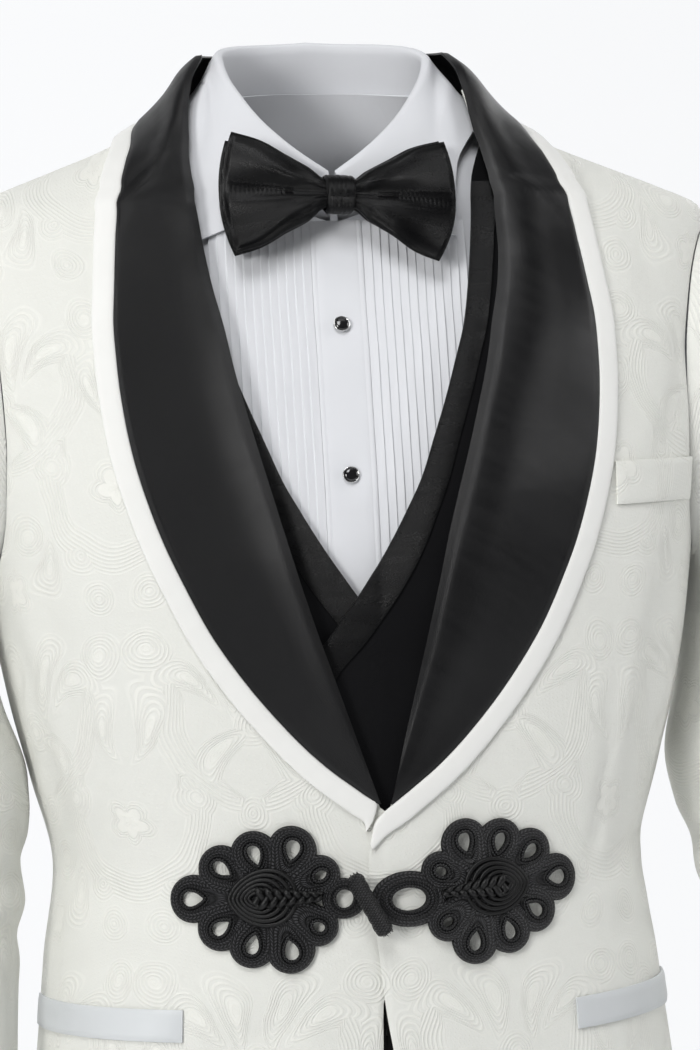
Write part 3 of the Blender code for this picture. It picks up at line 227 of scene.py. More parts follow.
# Trouser legs, one side: height, centre's distance, half width, centre fore and aft, half depth,
# squareness.
TROUSER = (
    (-0.4685, 0.000, 0.1640, -0.0110, 0.1010, 2.1),
    (-0.5100, 0.004, 0.1680, -0.0090, 0.1040, 2.1),
    (-0.5600, 0.014, 0.1640, -0.0050, 0.1110, 2.1),
    (-0.6200, 0.036, 0.1480, -0.0030, 0.1120, 2.0),
    (-0.6700, 0.062, 0.1250, -0.0020, 0.1080, 2.0),
    (-0.7050, 0.084, 0.1040, 0.0000, 0.1040, 2.0),
    (-0.7300, 0.0945, 0.0925, 0.0020, 0.1000, 2.0),
    (-0.8000, 0.0980, 0.0895, 0.0020, 0.0960, 2.0),
    (-0.9800, 0.1030, 0.0770, -0.0060, 0.0880, 1.8),
    (-1.1800, 0.1055, 0.0680, 0.0000, 0.0830, 1.7),
    (-1.4200, 0.1080, 0.0630, 0.0080, 0.0800, 1.7),
    (TROUSER_HEM, 0.1080, 0.0640, 0.0060, 0.0830, 1.7),
)

# Row heights that neighbouring panels share, so that their seams run side by side.
YOKE_ROWS = (-0.275, -0.255, -0.225, -0.185, -0.145, -0.105, -0.072, -0.052)
TOP_ROWS = (-0.038, -0.030, -0.022, -0.014, -0.006, 0.004, 0.019, 0.034)
LOWER_ROWS = (
    JACKET_HEM, -0.735, -0.690, -0.635, -0.580, -0.545, -0.515, -0.475, -0.437, -0.402, -0.360, -0.318,
)

# Lifts from the form (inner face, outer face), over the chest and below, and on the shoulders.
LAYERS = {
    "jacket": ((-1.8, 0.0), (-1.8, 0.0)),
    "waistcoat_left": ((-5.6, -4.3), (-5.8, -4.6)),
    "waistcoat_right": ((-9.0, -7.7), (-5.8, -4.6)),
    "waistcoat_back": ((-7.8, -6.5), (-5.8, -4.6)),
    "band_left": ((-3.8, -2.9), (-4.0, -3.1)),
    "band_right": ((-7.2, -6.4), (-4.0, -3.1)),
    "shirt": ((-15.0, -13.8), (-10.2, -9.0)),
    "bib": ((-13.3, -12.4), (-8.5, -7.6)),
}
SHOULDER_LIFT_FROM = -0.170
SHOULDER_LIFT_TO = -0.060


# ---------------------------------------------------------------- curves and the form
class Curve:
    """A smooth curve through (place, value) pairs that never overshoots them."""

    def __init__(self, places, values):
        order = np.argsort(places)
        self.place = np.array(places, float)[order]
        self.value = np.array(values, float)[order]
        self.step = np.diff(self.place)
        rise = np.diff(self.value) / self.step
        self.slope = np.zeros(len(self.place))
        self.slope[0] = rise[0]
        self.slope[-1] = rise[-1]
        for i in range(1, len(rise)):
            if rise[i - 1] * rise[i] > 0:
                near = 2 * self.step[i] + self.step[i - 1]
                far = self.step[i] + 2 * self.step[i - 1]
                self.slope[i] = (near + far) / (near / rise[i - 1] + far / rise[i])

    def __call__(self, at):
        at = np.asarray(at, float)
        i = np.clip(np.searchsorted(self.place, at) - 1, 0, len(self.step) - 1)
        step = self.step[i]
        t = np.clip((at - self.place[i]) / step, 0.0, 1.0)
        start = (2 * t**3 - 3 * t**2 + 1) * self.value[i] + (t**3 - 2 * t**2 + t) * step * self.slope[i]
        end = (3 * t**2 - 2 * t**3) * self.value[i + 1] + (t**3 - t**2) * step * self.slope[i + 1]
        return start + end


def columns(table):
    """A Curve for each column of a table after its first."""
    rows = np.array(table, float)
    return [Curve(rows[:, 0], rows[:, k]) for k in range(1, rows.shape[1])]


def ease(t):
    """Smooth step from 0 to 1."""
    t = np.clip(t, 0.0, 1.0)
    return t * t * (3 - 2 * t)


def bump(t):
    """A soft bell, 1 at 0."""
    return np.exp(-np.square(t))


FORM_CURVES = columns(FORM)
TURNS = np.linspace(0, math.pi / 2, 240)


@functools.lru_cache(maxsize=None)
def section(height):
    """Half width, front depth, back depth and squareness of the form at a height."""
    return tuple(float(curve(height)) for curve in FORM_CURVES)


@functools.lru_cache(maxsize=None)
def quarter(height, behind):
    """Share of a quarter's length at each turn from the centre line to the side, and that length."""
    half_width, front, back, square = section(height)
    x = half_width * np.sin(TURNS) ** (2 / square)
    y = (back if behind else front) * np.cos(TURNS) ** (2 / square)
    run = np.concatenate(([0.0], np.cumsum(np.hypot(np.diff(x), np.diff(y)))))
    return run / run[-1], float(run[-1])


HEIGHTS = np.linspace(-0.800, 0.080, 881)
PLACES = np.linspace(-2.0, 2.0, 1601)


def form_tables():
    """Points and outward normals of the form over HEIGHTS and PLACES, and each row's two lengths."""
    size = np.abs(PLACES)
    sign = np.sign(PLACES)
    points = np.zeros((len(HEIGHTS), len(PLACES), 3))
    lengths = np.zeros((len(HEIGHTS), 2))
    for i, height in enumerate(HEIGHTS):
        height = float(height)
        half_width, front, back, square = section(height)
        near, far = quarter(height, False), quarter(height, True)
        turn = np.where(size > 1, np.interp(2 - size, far[0], TURNS), np.interp(size, near[0], TURNS))
        depth = np.where(size > 1, back, -front)
        points[i, :, 0] = sign * half_width * np.sin(turn) ** (2 / square)
        points[i, :, 1] = depth * np.clip(np.cos(turn), 0.0, None) ** (2 / square)
        points[i, :, 2] = height
        lengths[i] = near[1], far[1]
    wide = np.concatenate((points[:, -6:-1], points, points[:, 1:6]), axis=1)
    across = (wide[:, 10:] - wide[:, :-10])
    up = np.gradient(points, axis=0)
    normal = np.cross(across, up)
    normal /= np.linalg.norm(normal, axis=2, keepdims=True)
    return points, normal, lengths


POINTS, NORMALS, LENGTHS = form_tables()


def look_up(table, q, height):
    """Bilinear reading of a table at places."""
    q = (np.asarray(q, float) + 2) % 4
    a = q / (PLACES[1] - PLACES[0])
    b = (np.asarray(height, float) - HEIGHTS[0]) / (HEIGHTS[1] - HEIGHTS[0])
    i = np.clip(np.floor(a).astype(int), 0, len(PLACES) - 2)
    j = np.clip(np.floor(b).astype(int), 0, len(HEIGHTS) - 2)
    a = (a - i)[..., None]
    b = (b - j)[..., None]
    low = table[j, i] * (1 - a) + table[j, i + 1] * a
    high = table[j + 1, i] * (1 - a) + table[j + 1, i + 1] * a
    return low * (1 - b) + high * b


def on_form(q, height, lift=0.0):
    """Points at places, moved out from the form by lift."""
    q, height, lift = np.broadcast_arrays(q, height, lift)
    normal = look_up(NORMALS, q, height)
    normal /= np.linalg.norm(normal, axis=-1, keepdims=True)
    return look_up(POINTS, q, height) + normal * lift[..., None]


def run_at(q, height):
    """Distance along the cloth from centre front, signed."""
    size = np.abs((np.asarray(q, float) + 2) % 4 - 2)
    near = np.interp(height, HEIGHTS, LENGTHS[:, 0])
    far = np.interp(height, HEIGHTS, LENGTHS[:, 1])
    return np.sign((np.asarray(q, float) + 2) % 4 - 2) * np.where(size < 1, size * near,
        near + (size - 1) * far)


def q_at(x, height, behind=False):
    """The q of the point at distance x from the centre plane, in front or behind."""
    height = float(height)
    half_width, _, _, square = section(height)
    turn = math.asin(min(abs(x) / half_width, 1.0) ** (square / 2))
    share = float(np.interp(turn, TURNS, quarter(height, behind)[0]))
    return math.copysign(2 - share if behind else share, x)


def q_step(length, height):
    """The change of q for a length along the section in front."""
    return length / np.interp(height, HEIGHTS, LENGTHS[:, 0])


def walk(q, height, move):
    """The place reached from a place by a small move in space, kept on the form."""
    goal = on_form(q, height) + move
    for _ in range(4):
        here = on_form(q, height)
        along_q = (on_form(q + 0.004, height) - on_form(q - 0.004, height)) / 0.008
        along_h = (on_form(q, height + 0.001) - on_form(q, height - 0.001)) / 0.002
        change = np.linalg.lstsq(np.stack((along_q, along_h), 1), goal - here, rcond=None)[0]
        q += float(np.clip(change[0], -0.1, 0.1))
        height += float(np.clip(change[1], -0.02, 0.02))
    return q, height


def layer(name, height):
    """Inner and outer lift of a layer at a height, in metres."""
    low, high = LAYERS[name]
    share = ease((np.asarray(height) - SHOULDER_LIFT_FROM) / (SHOULDER_LIFT_TO - SHOULDER_LIFT_FROM))
    return tuple((a + (b - a) * share) * MM for a, b in zip(low, high))


def lap_raise(x, height):
    """How far the left front's layers stand out where it laps over the right front."""
    return LAP * ease((LAP_WIDTH - x) / LAP_WIDTH) * ease((-0.35 - height) / 0.04)


def trail(points, count):
    """Places at even distances along a smooth line through (q, height) control points."""
    run = [0.0]
    for (q0, h0), (q1, h1) in zip(points, points[1:]):
        run.append(run[-1] + float(np.linalg.norm(on_form(q1, h1) - on_form(q0, h0))))
    along = np.linspace(0, run[-1], 400)
    fine = np.stack((Curve(run, [p[0] for p in points])(along), Curve(run, [p[1] for p in points])(along)), 1)
    spots = on_form(fine[:, 0], fine[:, 1])
    length = np.concatenate(([0.0], np.cumsum(np.linalg.norm(np.diff(spots, axis=0), axis=1))))
    even = np.linspace(0, length[-1], count + 1)
    return [tuple(float(np.interp(s, length, fine[:, k])) for k in (0, 1)) for s in even]


# ---------------------------------------------------------------- folds
def fold(s, z, a, b, depth, width, bow=0.0):
    """A soft trough from a to b with a low ridge on each side; bow bends it sideways."""
    along = (b[0] - a[0], b[1] - a[1])
    length = math.hypot(*along)
    t = ((s - a[0]) * along[0] + (z - a[1]) * along[1]) / length**2
    off = ((z - a[1]) * along[0] - (s - a[0]) * along[1]) / length - bow * 4 * t * (1 - t)
    fade = bump(np.clip(np.abs(2 * t - 1) - 0.45, 0.0, None) / 0.42)
    return depth * fade * (0.5 * bump((np.abs(off) - 1.9 * width) / (1.2 * width)) - bump(off / width))


def folds(s, z, table):
    """All the folds of a table of rows (s0, z0, s1, z1, depth mm, width mm, bow mm)."""
    total = np.zeros(np.broadcast(s, z).shape)
    for s0, z0, s1, z1, depth, width, bow in table:
        total += fold(s, z, (s0, z0), (s1, z1), depth * MM, width * MM, bow * MM)
    return total


def drift(s, z, key, size=1.0):
    """Slow, uneven swells of about size millimetres."""
    a, b, c = (math.sin(key * k) * 3 for k in (1.3, 2.1, 3.7))
    wave = np.sin(s * 41 + z * 17 + a) + 0.7 * np.sin(s * 23 - z * 37 + b) + 0.5 * np.sin(s * 71 + z * 53 + c)
    return wave * 0.45 * size * MM


# ---------------------------------------------------------------- meshes
def grid_normals(points, closed):
    """Unit normals of a grid of points, along columns times along rows."""
    if closed:
        wide = np.concatenate((points[:, -1:], points, points[:, :1]), axis=1)
        across = wide[:, 2:] - wide[:, :-2]
    else:
        across = np.gradient(points, axis=1)
    ahead = np.gradient(points, axis=0)
    normal = np.cross(across, ahead)
    size = np.linalg.norm(normal, axis=2, keepdims=True)
    return normal / np.where(size < 1e-12, 1.0, size)


def mesh_object(name, points, faces, uv, sharp=50, slots=None):
    """A mesh of quads and triangles with outward faces; uv has one pair per face corner."""
    mesh = bpy.data.meshes.new(name)
    mesh.from_pydata([tuple(p) for p in points], [], faces)
    layer_uv = mesh.uv_layers.new(name="OFBake")
    layer_uv.data.foreach_set("uv", np.asarray(uv, np.float32).ravel())
    if slots is not None:
        mesh.polygons.foreach_set("material_index", np.asarray(slots, np.int32))
    work = bmesh.new()
    work.from_mesh(mesh)
    bmesh.ops.recalc_face_normals(work, faces=work.faces)
    work.to_mesh(mesh)
    work.free()
    mesh.shade_smooth()
    mesh.set_sharp_from_angle(angle=math.radians(sharp))
    thing = bpy.data.objects.new(name, mesh)
    bpy.context.scene.collection.objects.link(thing)
    return thing


class Parts:
    """Gathers walls and tubes into the points, faces and uv of one mesh."""

    def __init__(self):
        self.points = []
        self.faces = []
        self.uv = []
        self.slots = []
        self.count = 0
        self.flat = 0.0

    def add(self, points, faces, uv, slot=0):
        points = np.asarray(points, float).reshape(-1, 3)
        self.points.append(points)
        self.faces += [tuple(int(i) + self.count for i in face) for face in faces]
        self.uv += [np.asarray(pair, float).reshape(-1, 2) for pair in uv]
        self.slots += [slot] * len(faces)
        self.count += len(points)

    def wall(self, outer, uv, thick=1.2 * MM, out=1, closed=False, inner=None, slot=0):
        """A double wall; uv is a grid of pairs, with one more column than outer if closed."""
        rows, cols = outer.shape[:2]
        if inner is None:
            inner = outer - out * thick * grid_normals(outer, closed)
        wide = uv.shape[1]
        flat = uv.reshape(-1, 2)
        i, j = np.meshgrid(np.arange(rows - 1), np.arange(cols if closed else cols - 1), indexing="ij")
        k = (j + 1) % cols
        quads = np.stack((i * cols + j, i * cols + k, (i + 1) * cols + k, (i + 1) * cols + j),
            -1).reshape(-1, 4)
        corners = np.stack((i * wide + j, i * wide + j + 1, (i + 1) * wide + j + 1, (i + 1) * wide + j),
            -1).reshape(-1, 4)
        back = rows * cols
        faces = [*quads.tolist(), *(quads[:, ::-1] + back).tolist()]
        corner_uv = [*flat[corners], *flat[corners[:, ::-1]]]
        edges = []
        for j0 in range(cols if closed else cols - 1):
            k0 = (j0 + 1) % cols
            edges.append((j0, k0, j0, j0 + 1))
            last, last_uv = (rows - 1) * cols, (rows - 1) * wide
            edges.append((last + k0, last + j0, last_uv + j0 + 1, last_uv + j0))
        if not closed:
            for i0 in range(rows - 1):
                edges.append(((i0 + 1) * cols, i0 * cols, (i0 + 1) * wide, i0 * wide))
                end, end_uv = i0 * cols + cols - 1, i0 * wide + wide - 1
                edges.append((end, end + cols, end_uv, end_uv + wide))
        for a, b, ua, ub in edges:
            faces.append((b, a, back + a, back + b))
            corner_uv.append(flat[[ub, ua, ua, ub]])
        self.add(np.concatenate((outer.reshape(-1, 3), inner.reshape(-1, 3))), faces, corner_uv, slot)
        a, b, c, d = (flat[corners[:, n]] for n in range(4))
        self.flat += 0.5 * float(np.sum(np.abs((c - a)[:, 0] * (d - b)[:, 1] - (c - a)[:, 1]
            * (d - b)[:, 0])))

    def closed_rings(self, rings, uv, slot=0):
        """A body through rings of points, with a fan over each end."""
        rows, cols = rings.shape[:2]
        i, j = np.meshgrid(np.arange(rows - 1), np.arange(cols), indexing="ij")
        k = (j + 1) % cols
        wide = cols + 1
        quads = np.stack((i * cols + j, i * cols + k, (i + 1) * cols + k, (i + 1) * cols + j),
            -1).reshape(-1, 4)
        corners = np.stack((i * wide + j, i * wide + j + 1, (i + 1) * wide + j + 1, (i + 1) * wide + j),
            -1).reshape(-1, 4)
        flat = uv.reshape(-1, 2)
        faces = quads.tolist()
        corner_uv = [*flat[corners]]
        points = list(rings.reshape(-1, 3))
        for ring in (0, rows - 1):
            middle = len(points)
            points.append(rings[ring].mean(axis=0))
            for j0 in range(cols):
                faces.append((middle, ring * cols + j0, ring * cols + (j0 + 1) % cols))
                at = ring * wide + j0
                corner_uv.append([(flat[at] + flat[at + 1]) / 2, flat[at], flat[at + 1]])
        self.add(points, faces, corner_uv, slot)

    def tube(self, path, across, out, wide, tall, closed=False, sides=8, taper=None, slot=0, power=0.8):
        """A cord along a path: across and out are unit vectors at each point; uv runs along it."""
        path = np.asarray(path, float)
        count = len(path)
        turn = 2 * math.pi * np.arange(sides) / sides
        c = np.sign(np.cos(turn)) * np.abs(np.cos(turn)) ** power
        s = np.sign(np.sin(turn)) * np.abs(np.sin(turn)) ** power
        scale = np.ones(count) if taper is None else np.asarray(taper, float)
        rings = (path[:, None] + across[:, None] * (c * wide)[None, :, None] * scale[:, None, None]
                 + out[:, None] * (s * tall)[None, :, None] * scale[:, None, None])
        run = np.concatenate(([0.0], np.cumsum(np.linalg.norm(np.diff(path, axis=0), axis=1))))
        if closed:
            rings = np.concatenate((rings, rings[:1]))
            run = np.append(run, run[-1] + np.linalg.norm(path[0] - path[-1]))
        v = np.linspace(0, 1, sides + 1)
        uv = np.stack(np.broadcast_arrays(run[:, None], v[None] * (2 * (wide + tall))), -1)
        if not closed:
            self.closed_rings(rings, uv, slot)
            return
        n = len(path)
        i, j = np.meshgrid(np.arange(n), np.arange(sides), indexing="ij")
        i2, k = (i + 1) % n, (j + 1) % sides
        quads = np.stack((i * sides + j, i * sides + k, i2 * sides + k, i2 * sides + j), -1).reshape(-1, 4)
        w = sides + 1
        corners = np.stack((i * w + j, i * w + j + 1, (i + 1) * w + j + 1, (i + 1) * w + j),
            -1).reshape(-1, 4)
        self.add(rings[:-1], quads.tolist(), [*uv.reshape(-1, 2)[corners]], slot)

    def object(self, name, sharp=50):
        corner_uv = np.concatenate(self.uv)
        return mesh_object(name, np.concatenate(self.points), self.faces, corner_uv, sharp, self.slots)


def dress(thing, materials, nodes):
    """Gives a piece its materials and its body, and hides the solids it stands for."""
    for material in materials:
        thing.data.materials.append(material)
    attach(thing, "root")
    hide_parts(*nodes)
    return thing


def cloth(thing):
    """Hands a piece back unchanged."""
    return thing


def measured(grid, closed=False):
    """The longest run across a grid of points, the longest along it, and its area."""
    if closed:
        grid = np.concatenate((grid, grid[:, :1]), axis=1)
    across = float(np.linalg.norm(np.diff(grid, axis=1), axis=2).sum(axis=1).max())
    along = float(np.linalg.norm(np.diff(grid, axis=0), axis=2).sum(axis=0).max())
    first = grid[1:, 1:] - grid[:-1, :-1]
    second = grid[1:, :-1] - grid[:-1, 1:]
    area = 0.5 * float(np.linalg.norm(np.cross(first, second), axis=2).sum())
    return across, along, area


# ---------------------------------------------------------------- materials
class Value:
    """A shader number that can be added, multiplied and so on."""

    def __init__(self, made, socket):
        self.made = made
        self.socket = socket

    def _do(self, operation, *others):
        return self.made.math(operation, self, *others)

    def __add__(self, other):
        return self._do("ADD", other)

    def __sub__(self, other):
        return self._do("SUBTRACT", other)

    def __mul__(self, other):
        return self._do("MULTIPLY", other)

    def __truediv__(self, other):
        return self._do("DIVIDE", other)

    def __rsub__(self, other):
        return self.made.math("SUBTRACT", other, self)

    __radd__ = __add__
    __rmul__ = __mul__

    def __getattr__(self, name):
        return lambda *others: self._do(name.upper(), *others)


class Finish:
    """A material with its shader, and short ways to wire numbers into it."""

    def __init__(self, name, colour, roughness, **sockets):
        self.material = bpy.data.materials.new(name)
        self.material.use_nodes = True
        self.tree = self.material.node_tree
        self.shader = self.tree.nodes["Principled BSDF"]
        self.shader.inputs["Base Color"].default_value = (*colour, 1.0)
        self.shader.inputs["Roughness"].default_value = roughness
        self.material.diffuse_color = (*colour, 1.0)
        for key, value in sockets.items():
            self.shader.inputs[key.replace("_", " ")].default_value = value
        uv = self.tree.nodes.new("ShaderNodeUVMap")
        uv.uv_map = "OFBake"
        self.uv = uv.outputs[0]
        split = self.tree.nodes.new("ShaderNodeSeparateXYZ")
        self.tree.links.new(self.uv, split.inputs[0])
        self.u = Value(self, split.outputs[0])
        self.v = Value(self, split.outputs[1])

    def put(self, value, socket):
        if isinstance(value, Value):
            self.tree.links.new(value.socket, socket)
        else:
            socket.default_value = value

    def math(self, operation, *values):
        node = self.tree.nodes.new("ShaderNodeMath")
        node.operation = operation
        for value, socket in zip(values, node.inputs):
            self.put(value, socket)
        return Value(self, node.outputs[0])

    def noise(self, scale, detail=2.0, stretch=(1.0, 1.0), roughness=0.5, distortion=0.0):
        """Noise over the cloth; scale is in cells per metre."""
        mapping = self.tree.nodes.new("ShaderNodeMapping")
        mapping.inputs["Scale"].default_value = (stretch[0], stretch[1], 1.0)
        self.tree.links.new(self.uv, mapping.inputs[0])
        node = self.tree.nodes.new("ShaderNodeTexNoise")
        node.noise_dimensions = "2D"
        self.tree.links.new(mapping.outputs[0], node.inputs["Vector"])
        node.inputs["Scale"].default_value = scale
        node.inputs["Detail"].default_value = detail
        node.inputs["Roughness"].default_value = roughness
        node.inputs["Distortion"].default_value = distortion
        return Value(self, node.outputs[0])

    def ramp(self, value, low, high, out_low, out_high):
        node = self.tree.nodes.new("ShaderNodeMapRange")
        node.interpolation_type = "SMOOTHSTEP"
        for number, setting in zip((value, low, high, out_low, out_high), range(5)):
            self.put(number, node.inputs[setting])
        return Value(self, node.outputs[0])

    def colour(self, value, first, second):
        """Base colour between two colours by a number from 0 to 1."""
        node = self.tree.nodes.new("ShaderNodeMix")
        node.data_type = "RGBA"
        self.put(value, node.inputs[0])
        node.inputs[6].default_value = (*first, 1.0)
        node.inputs[7].default_value = (*second, 1.0)
        self.tree.links.new(node.outputs[2], self.shader.inputs["Base Color"])

    def rough(self, value):
        self.tree.links.new(value.socket, self.shader.inputs["Roughness"])

    def relief(self, value, depth):
        """A bump whose heights are value times depth, in metres."""
        node = self.tree.nodes.new("ShaderNodeBump")
        node.inputs["Strength"].default_value = 1.0
        node.inputs["Distance"].default_value = depth
        self.tree.links.new(value.socket, node.inputs["Height"])
        self.tree.links.new(node.outputs[0], self.shader.inputs["Normal"])

    def twill(self, pitch, slant=1.0):
        """Diagonal ribs across the cloth."""
        return ((self.u + self.v * slant) * (2 * math.pi / pitch)).sine() * 0.5 + 0.5

    def plain(self, pitch):
        """Over and under threads."""
        turn = 2 * math.pi / pitch
        return (self.u * turn).sine() * (self.v * turn).sine() * 0.5 + 0.5


# A brocade repeat, mirrored about its upright middle line: each figure's kind, its place in one half,
# its size, and its turn in degrees, its winding, or the part of a circle that an arc keeps.
REPEAT = (0.148, 0.192)
FIGURES = (
    ("ring", 0.000, 0.030, 0.0062, 0),
    ("leaf", 0.021, 0.016, 0.0190, -48),
    ("leaf", 0.013, 0.062, 0.0165, 68),
    ("leaf", 0.037, 0.058, 0.0150, 24),
    ("arc", 0.074, -0.022, 0.0400, 0.50),
    ("flower", 0.074, -0.022, 0.0100, 12),
    ("curl", 0.036, -0.010, 0.0062, 1),
    ("curl", 0.013, -0.050, 0.0078, -1),
    ("ring", 0.050, -0.060, 0.0040, 0),
    ("leaf", 0.031, -0.068, 0.0120, -105),
    ("ring", 0.058, -0.084, 0.0048, 0),
    ("leaf", 0.060, 0.034, 0.0130, 100),
    ("flower", 0.000, -0.084, 0.0085, 40),
    ("ring", 0.000, -0.018, 0.0042, 0),
    ("curl", 0.062, 0.074, 0.0070, 1),
    ("arc", 0.000, 0.040, 0.0500, 0.80),
)
LINE_PITCH = 0.0021


def brocade(name, colour, deep, roughness):
    """Woven scroll work: a few even lines round leaves, rings, curls and arcs, and small flowers."""
    made = Finish(name, colour, roughness, Sheen_Weight=0.08, Sheen_Roughness=0.4, Specular_IOR_Level=0.36)
    u = made.u + (made.noise(22.0, 1.0) - 0.5) * 0.014
    v = made.v + (made.noise(17.0, 1.0, (1.0, 0.8)) - 0.5) * 0.014
    u = (u - REPEAT[0] / 2).wrap(REPEAT[0] / 2, -REPEAT[0] / 2).absolute()
    nearest = None
    petals = None
    for kind, cu, cv, size, turn in FIGURES:
        x = u - cu
        y = (v - cv).wrap(REPEAT[1] / 2, -REPEAT[1] / 2)
        if kind == "curl":
            spin = y.arctan2(x) * (turn * LINE_PITCH / (2 * math.pi))
            distance = (x * x + y * y).sqrt() + spin - size
        elif kind == "ring":
            distance = (x * x + y * y).sqrt() - size
        elif kind == "arc":
            beyond = (x.absolute() * -1.0 + y * 0.6 + size * turn).maximum(0.0)
            distance = ((x * x + y * y).sqrt() - size).absolute() + beyond - LINE_PITCH
        elif kind == "leaf":
            lean = math.radians(turn)
            along = x * math.cos(lean) + y * math.sin(lean)
            aside = y * math.cos(lean) - x * math.sin(lean)
            aside = aside + along * along * 14.0
            swell = 1.55 - along / size * 0.55
            distance = (along * along * 0.36 + aside * aside * swell * swell).sqrt() - size * 0.55
        else:
            angle = (y.arctan2(x) + math.radians(turn)) * 2.5
            distance = (x * x + y * y).sqrt() - (angle.cosine().absolute() * 0.42 + 0.62) * size
            petals = distance if petals is None else petals.minimum(distance)
        nearest = distance if nearest is None else nearest.minimum(distance)
    lines = (nearest * (2 * math.pi / LINE_PITCH)).cosine() * 0.5 + 0.5
    lines = made.ramp(lines, 0.30, 0.85, 0.0, 1.0) * made.ramp(nearest, 0.0042, 0.0078, 1.0, 0.0)
    flower = made.ramp(petals, -0.0006, 0.0003, 1.0, 0.0)
    eye = made.ramp((petals + 0.0060).absolute(), 0.0005, 0.0012, 1.0, 0.0)
    inside = made.ramp(nearest, -0.0040, -0.0030, 1.0, 0.0)
    ground = ((u * 0.7 + v) * (2 * math.pi / 0.0046)).sine() * ((u - v * 0.7) * (2 * math.pi / 0.0046)).sine()
    ground = made.ramp(ground, 0.45, 0.75, 0.0, 0.35) * made.ramp(nearest, 0.0070, 0.0095, 0.0, 1.0)
    figure = (lines * (1.0 - flower) + flower * (1.0 - eye * 0.8)).maximum(inside * 0.55).maximum(ground)
    weave = made.twill(0.00062, -1.0)
    floats = made.twill(0.00095, 3.0)
    grain = made.noise(1500.0, 2.0, (1.0, 0.6))
    height = figure * 0.55 + weave * (1.0 - figure) * 0.22 + floats * figure * 0.14 + grain * 0.20
    made.relief(height, 0.00046)
    shade = made.noise(9.0, 3.0)
    made.colour(figure * 0.62 + shade * 0.22 + grain * 0.16, deep, colour)
    made.rough(made.ramp(figure, 0.0, 1.0, roughness + 0.08, roughness - 0.08))
    return made.material


def satin(name, colour, roughness, depth, specular, pale=None, sheen=0.0):
    """A weft-faced satin: long floats, a fine grain and a slightly uneven lustre."""
    made = Finish(name, colour, roughness, Specular_IOR_Level=specular, Sheen_Weight=sheen,
        Sheen_Roughness=0.35)
    floats = made.twill(0.00034, 5.0)
    grain = made.noise(2600.0, 2.0, (0.35, 1.0))
    slub = made.noise(160.0, 2.0, (0.12, 1.0))
    made.relief(floats * 0.35 + grain * 0.45 + slub * 0.5, depth)
    made.rough(made.ramp(grain * 0.6 + slub * 0.4, 0.3, 0.7, roughness - 0.05, roughness + 0.07))
    made.colour(made.noise(40.0, 3.0), colour, pale or tuple(c * 1.5 for c in colour))
    return made.material


def woven(name, colour, pale, roughness, pitch, depth, twill=True, specular=0.25, sheen=0.01, nap=0.4):
    """A plain or twill cloth with a little nap."""
    made = Finish(name, colour, roughness, Specular_IOR_Level=specular, Sheen_Weight=sheen,
        Sheen_Roughness=0.5)
    ribs = made.twill(pitch) if twill else made.plain(pitch)
    grain = made.noise(1900.0, 3.0)
    slub = made.noise(240.0, 2.0, (1.0, 0.15))
    made.relief(ribs * (1 - nap) + grain * nap + slub * 0.3, depth)
    made.rough(made.ramp(grain, 0.3, 0.7, roughness - 0.06, roughness + 0.06))
    made.colour(ribs * 0.35 + made.noise(30.0, 3.0) * 0.4 + grain * 0.25, colour, pale)
    return made.material


def stitched(made, height, painted_highlight, depth):
    """Silky black thread: deep between the stitches, with a painted highlight on their crowns."""
    fuzz = made.noise(2300.0, 3.0)
    made.relief(height + fuzz * 0.16, depth)
    # Painted highlight: the base colour turns from near black to grey on the stitch crowns.
    made.colour((painted_highlight * 0.9 + fuzz * 0.2).power(2.0), (0.0012, 0.0012, 0.0014), (0.050, 0.050, 0.054))
    made.rough(made.ramp(fuzz, 0.3, 0.7, 0.34, 0.52))
    return made.material


def braid(name, rows, pitch):
    """Flat plaited braid: u runs along it and v across, in rows of leaning stitches."""
    made = Finish(name, (0.006, 0.006, 0.007), 0.42, Specular_IOR_Level=0.34)
    across = (made.v * rows).fract()
    side = (made.v * rows * 0.5).fract() - 0.5
    lean = side.sign() * (across - 0.5) * 0.0018
    stitch = ((made.u + lean) / pitch).fract()
    along = 1.0 - (stitch * 2.0 - 1.0).absolute().power(2.2)
    wide = 1.0 - (across * 2.0 - 1.0).absolute().power(2.6)
    # Painted highlight: the stitch crowns (along times wide) also lighten the base colour.
    return stitched(made, along * wide, along * wide, 0.0010)


def cord(name, pitch):
    """A wound cord: u runs along it and v round it, both in metres."""
    made = Finish(name, (0.006, 0.006, 0.007), 0.45, Specular_IOR_Level=0.32)
    wind = ((made.u + made.v * 0.55) * (2 * math.pi / pitch)).sine() * 0.5 + 0.5
    other = ((made.u - made.v * 0.55) * (2 * math.pi / pitch)).sine() * 0.5 + 0.5
    # Painted highlight: the base colour lightens where both windings stand high.
    return stitched(made, wind * 0.6 + other * 0.4, wind * other, 0.0007)


def enamel():
    made = Finish("enamel", (0.006, 0.006, 0.007), 0.10, Coat_Weight=0.6, Coat_Roughness=0.04)
    made.relief(made.noise(500.0, 2.0), 0.00002)
    made.rough(made.ramp(made.noise(900.0, 2.0), 0.3, 0.7, 0.07, 0.15))
    return made.material


def metal():
    made = Finish("silver", (0.62, 0.62, 0.62), 0.20, Metallic=1.0)
    made.relief(made.noise(1800.0, 2.0, (0.2, 1.0)), 0.00003)
    made.rough(made.ramp(made.noise(700.0, 2.0), 0.3, 0.7, 0.15, 0.28))
    return made.material


